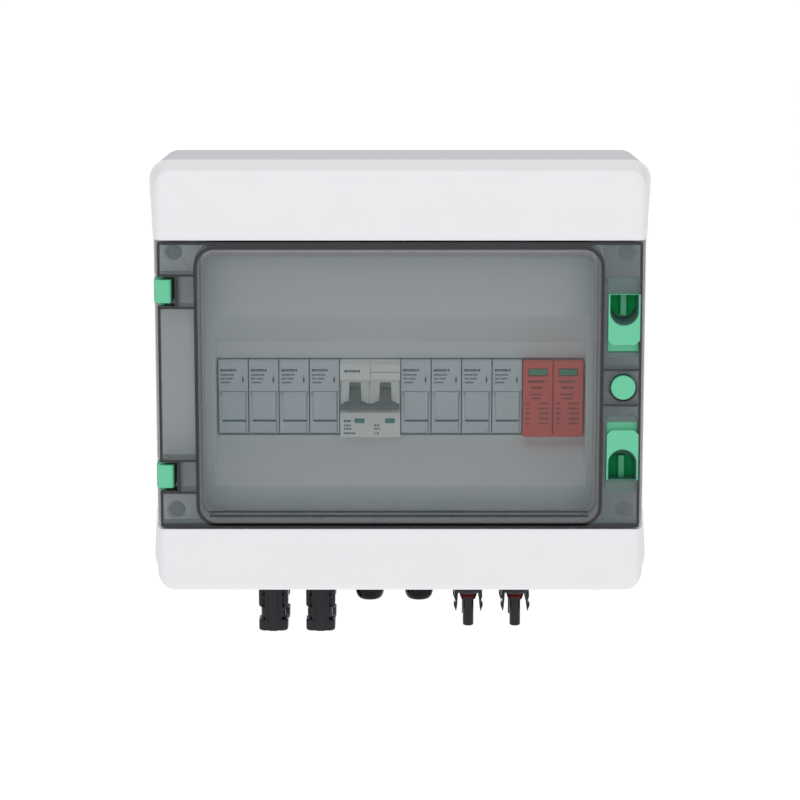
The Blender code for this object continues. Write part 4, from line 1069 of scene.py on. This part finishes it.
def arrester_plugs():
    """The two cartridges, each with its blades, its window with a flag, and its label."""
    floor = span("spd_base").d.high - 33.0
    for side in HANDS:
        name = f"spd_cartridge_{side}"
        node = span(name)
        x, z, front = node.x.mid, NOSE_Z, node.d.high + PROUD
        body = rounded_plate(about(x, 8.85), (z - 23.2, z + 22.4), 1.0, (NOSE_D - 3.4, front),
                             0.7, 4)
        core = box(about(x, 8.7), (floor + GAP, NOSE_D - 2), (node.z.low + 0.5, node.z.high - 0.5))
        weld(body, core, *(box(about(x, 0.8), (node.d.low, floor + 1), about(ROW_Z + up, 4))
                           for up in (-12, 12)))
        carve(body, rounded_loft([(front - 1.4, about(x, 5.4), (z + 13.6, z + 17.6), 0.4),
                                  (front + 1, about(x, 6.1), (z + 12.9, z + 18.3), 0.8)], 3))
        finish(soften(body, 0.2), f"arrester_plug_{side}", RED, name, "arrester_red", name)
        flag = rounded_plate(about(x, 5.2), (z + 13.8, z + 17.4), 0.4, (front - 1.35, front - 0.6),
                             0.1, 3)
        finish(crisp(flag), f"arrester_flag_{side}", FLAG, name, "arrester_red")
        rows = blocks(x - 5.6, z + 9.5, HEADING, 1.3)
        rows += blocks(x - 4.0, z + 5.9, (1.4, 1.2, 0.5, 1.1, 1.1), 1.3)
        rows += blocks(x - 4.9, z + 2.0, (0.8,) * 7, 0.9)
        rows += blocks(x - 3.2, z - 0.4, (0.8,) * 5, 0.9)
        for k in range(5):
            low = z - 3.5 - 3.0 * k
            rows += blocks(x - 6.9, low, (0.9, 0.8), 1.0)
            rows += blocks(x + 0.6, low, (0.9, 0.9, 0.9, 0.9, 0.8), 1.0)
        print_on(f"arrester_label_{side}", rows, front, RED_INK, name, "arrester_red")


# ---- connectors in the floor

THREAD_PITCH = 1.3
FLOOR = BASE.z.low         # underside of the box


def threaded_stem(place, high, radius=6.0):
    """A collar under the floor, the thread through it, a nut above it and the cable tail."""
    under, over = FLOOR - GAP, FLOOR + WALL
    profile = [(radius + 2.7, under - 3), (radius + 2.7, under - 0.3), (radius + 2.4, under),
               (radius, under)]
    z = under
    while z < high - 7.5:
        profile += [(radius, z + 0.4), (radius - 0.45, z + 0.85), (radius, z + THREAD_PITCH)]
        z += THREAD_PITCH
    profile += [(radius, high - 6.5), (4.2, high - 5), (4.2, high)]
    nut = turned(place, "z", [(7.2, over + GAP), (8.6, over + 1.0), (8.6, over + 3.6),
                              (7.4, over + 4.5)], 6)
    return weld(turned(place, "z", profile), nut)


def sockets():
    """The four upper connectors, with ribbed cheeks and a key on the front."""
    for n in range(1, 5):
        (x, d), low, high = upright(f"string_socket_{n}")
        collar = FLOOR - GAP - 2
        body = threaded_stem((x, d), high)
        foot = [(low, 7.7), (low + 0.4, 8.4), (low + 1.2, 8.9), (low + 6.6, 8.9), (low + 7.8, 7.4)]
        key = ((2.6, 3), (2.6, 7.8), (1.9, 8.3), (-1.9, 8.3), (-2.6, 7.8), (-2.6, 3))
        parts = [prism_z(rounded(about(x, 7.2), about(d, 6.9), 2.6), low + 6, collar),
                 loft([[(px, pd, z) for px, pd in rounded(about(x, w), about(d, w * 0.83), 2.4)]
                       for z, w in foot]),
                 prism_z([(x + u, d + v) for u, v in key], low + 0.2, collar)]
        cuts = [rod((x, d), "z", 4.7, low - 1, low + 24)]
        for side in (-1, 1):
            cheek = [(5.5, low + 14.6), (7.6, low + 14.6), (8.9, low + 16.0), (8.9, collar),
                     (5.5, collar)]
            parts.append(prism_d([(x + side * u, z) for u, z in cheek], d - 4.6, d + 5.6))

            def cut(near, far, depth, z):
                cuts.append(box(sorted((x + side * near, x + side * far)), depth, z))

            cut(5.0, 9.5, (d - 2.6, d + 8.0), (low + 7.2, low + 8.6))
            cut(3.6, 9.5, about(d, 2.6), (low + 8.2, low + 13.6))
            for v in (-8.0, 3.6):
                cut(5.2, 6.6, (d + v, d + v + 4.4), (low + 15.0, low + 21.0))
                cut(5.2, 6.6, (d + v, d + v + 4.4), (low + 22.0, collar - 0.8))
        weld(body, *parts)
        carve(body, *cuts)
        fixed(soften(body, 0.15), f"socket_{n}", BLACK, "connector_black", f"string_socket_{n}")


def plugs():
    """The four plug connectors, each with two snap arms and a red seal."""
    for n in range(1, 5):
        place, low, high = upright(f"string_plug_{n}")
        shoulder = low + 20.2
        body = threaded_stem(place, high)
        parts = [turned(place, "z", [(8.0, shoulder + 1.1), (8.9, shoulder + 2.2),
                                     (8.9, FLOOR - 2.6), (8.4, FLOOR - 2.0)]),
                 rod(place, "z", 6.2, shoulder + 0.7, shoulder + 2),
                 turned(place, "z", [(2.7, low), (3.15, low + 0.35), (3.3, low + 1.0),
                                     (3.3, low + 16.4), (4.4, low + 16.6), (4.4, shoulder + 1)])]
        arm = ((6.2, 2.0), (8.4, 2.0), (8.6, -1.8), (7.7, -4.6), (8.0, -5.6), (8.9, -6.0),
               (8.9, -7.4), (7.5, -11.2), (6.9, -8.0), (6.5, -3.0))
        parts += [prism_d([(place[0] + side * u, shoulder + v) for u, v in arm],
                          *about(place[1], 3)) for side in (-1, 1)]
        weld(body, *parts)
        carve(body, rod(place, "z", 1.6, low - 1, low + 14))
        fixed(soften(body, 0.15), f"plug_{n}", BLACK, "connector_black", f"string_plug_{n}")
        ring = [(r, shoulder + 1.0 - down) for r, down in (
            (4.5, 0.0), (4.5, 3.4), (4.9, 3.3), (5.0, 2.6), (4.6, 2.2), (5.4, 1.7), (5.1, 1.2),
            (5.7, 0.6), (5.5, 0.0))]
        fixed(crisp(turned(place, "z", ring, 40, True), 60), f"plug_seal_{n}", SEAL_RED,
              "connector_black")


def around(x, d, radius, count):
    """Points round a stem, as (x, d)."""
    return arc((x, d), radius, 0, 360 * (count - 1) / count, count - 1)


def glands():
    """The two cable glands: a hexagonal body through the FLOOR, and a domed nut."""
    over = FLOOR + WALL
    for side in HANDS:
        place, low, high = upright(f"gland_nut_{side}")
        body = turned(place, "z", [(6.3, FLOOR - 12), (6.3, FLOOR - 5), (8.0, FLOOR - 5),
                                   (8.0, FLOOR + 11)])
        hexagon = turned(place, "z", [(10.6, FLOOR - 5.0), (10.9, FLOOR - 4.4),
                                      (10.9, FLOOR - 0.9), (10.6, FLOOR - GAP)], 6)
        weld(body, hexagon,
             turned(place, "z", [(10.2, over + GAP), (10.8, over + 1), (10.8, over + 5)], 6))
        carve(body, rod(place, "z", 4.4, FLOOR - 14, FLOOR + 16))
        fixed(soften(body, 0.2), f"gland_stub_{side}", BLACK, "connector_black",
              f"gland_body_{side}")
        wide = 8.7
        dome = [(4.9, low), (5.6, low + 0.1)]
        dome += [(wide - 3.2 + 3.2 * sin(a), low + 6.4 - 6.2 * cos(a))
                 for a in (radians(15 * k) for k in range(1, 7))]
        nut = turned(place, "z", dome + [(wide, high - 0.4), (wide - 0.4, high)], 48)
        carve(nut, turned(place, "z", [(6.6, high + 1), (6.6, low + 7.5), (4.1, low + 6.0),
                                       (4.1, low - 1)]),
              *(rod(spot, "z", 0.8, low + 5.8, high + 1, 12)
                for spot in around(*place, wide + 0.5, 12)))
        finish(soften(nut, 0.15), f"gland_dome_{side}", GLAND_BLACK, f"gland_nut_{side}",
               "connector_black", f"gland_nut_{side}")


def vent():
    """The vent plug, notched round its cap."""
    place, low, _ = upright("vent_plug")
    plug = turned(place, "z", [(2.4, low), (4.0, low + 0.2), (5.6, low + 1.0), (6.6, low + 2.6),
                               (7.0, low + 4.6), (7.0, FLOOR - GAP), (5.0, FLOOR - GAP),
                               (5.0, FLOOR + 9)], 40)
    carve(plug, *(rod(spot, "z", 1.0, low + 3.0, FLOOR - 1.2, 12)
                  for spot in around(*place, 7.4, 8)))
    weld(plug, rod(place, "z", 7.6, FLOOR + WALL + GAP, FLOOR + WALL + 4, 6))
    fixed(soften(plug, 0.2), "vent_cap", VENT, "vent_grey", "vent_plug")


# ---- studio

AIM_D = 102.0
AIM_Z = -15.8
CAMERA_RANGE = 1600.0
CAMERA_PITCH = radians(10)
LENS = 121.6
HORIZON, ZENITH = 0.48, 0.80                   # strength of the sky
FLOOR_DROP = 160.0                             # below the lowest connector
FLOOR_REACH = 60000.0
FLOOR_GLOW = 0.71


def camera():
    data = bpy.data.cameras.new("camera")
    data.lens = LENS
    data.sensor_width = 36.0
    data.clip_start = 0.05
    data.clip_end = 200.0
    eye = placed("camera", data)
    eye.location = at(0, AIM_D + CAMERA_RANGE * cos(CAMERA_PITCH),
                      AIM_Z + CAMERA_RANGE * sin(CAMERA_PITCH))
    eye.rotation_euler = (pi / 2 - CAMERA_PITCH, 0, 0)
    bpy.context.scene.camera = eye


def area_light(name, place, size, power, target=(0, 100, 0)):
    data = bpy.data.lights.new(name, "AREA")
    data.shape = "RECTANGLE"
    data.size, data.size_y = size
    data.energy = power
    lamp = placed(name, data)
    lamp.location = at(*place)
    lamp.rotation_euler = (at(*target) - lamp.location).to_track_quat("-Z", "Y").to_euler()


def studio():
    """A pale floor that glows a little, a sky that is dimmer at the horizon, and three lamps."""
    world = bpy.data.worlds.new("studio")
    world.use_nodes = True
    bpy.context.scene.world = world
    tree = world.node_tree
    direction = add_node(tree, "ShaderNodeTexCoord").outputs["Generated"]
    height = add_node(tree, "ShaderNodeSeparateXYZ", {0: direction}).outputs["Z"]
    feed(tree, tree.nodes["Background"], {"Color": (1.0, 1.0, 1.0, 1.0),
                                          "Strength": ramp(tree, height, HORIZON, ZENITH)})

    floor_z = cad_low.z / MM - FLOOR_DROP
    floor = box(about(0, FLOOR_REACH), about(0, FLOOR_REACH), (floor_z - 10, floor_z))
    floor.name = "studio_floor"
    pale = surface("pale_floor", (0.40, 0.40, 0.40), 0.9, 0.004, 0.01, relief=0.0)
    feed(pale.node_tree, pale.node_tree.nodes["Principled BSDF"], {
        "Emission Color": (1.0, 1.0, 1.0, 1.0), "Emission Strength": FLOOR_GLOW})
    floor.data.materials.append(pale)
    area_light("key", (-300, 1600, 500), (1.4, 1.0), 3.3)
    area_light("fill", (700, 1500, 200), (1.0, 1.2), 1.6)
    area_light("overhead", (0, 250, 1500), (1.6, 1.6), 6.6, (0, 80, 0))
    bpy.context.scene.view_settings.view_transform = "Standard"


# ---- assembly

def main():
    paint_carried_nodes()
    base_shell()
    cover_shell()
    cover_seal()
    cover_screws()
    door_plate()
    door_flange()
    door_rim_and_shadow()
    door_ring()
    door_band()
    door_pane()
    door_ribs()
    latch_bay()
    lock_insert()
    hinge_blocks()
    latch_slides()
    latch_coils()
    fuse_drawers()
    fuse_labels()
    breaker_case()
    breaker_lever()
    arrester_plugs()
    sockets()
    plugs()
    glands()
    vent()
    camera()
    studio()


main()
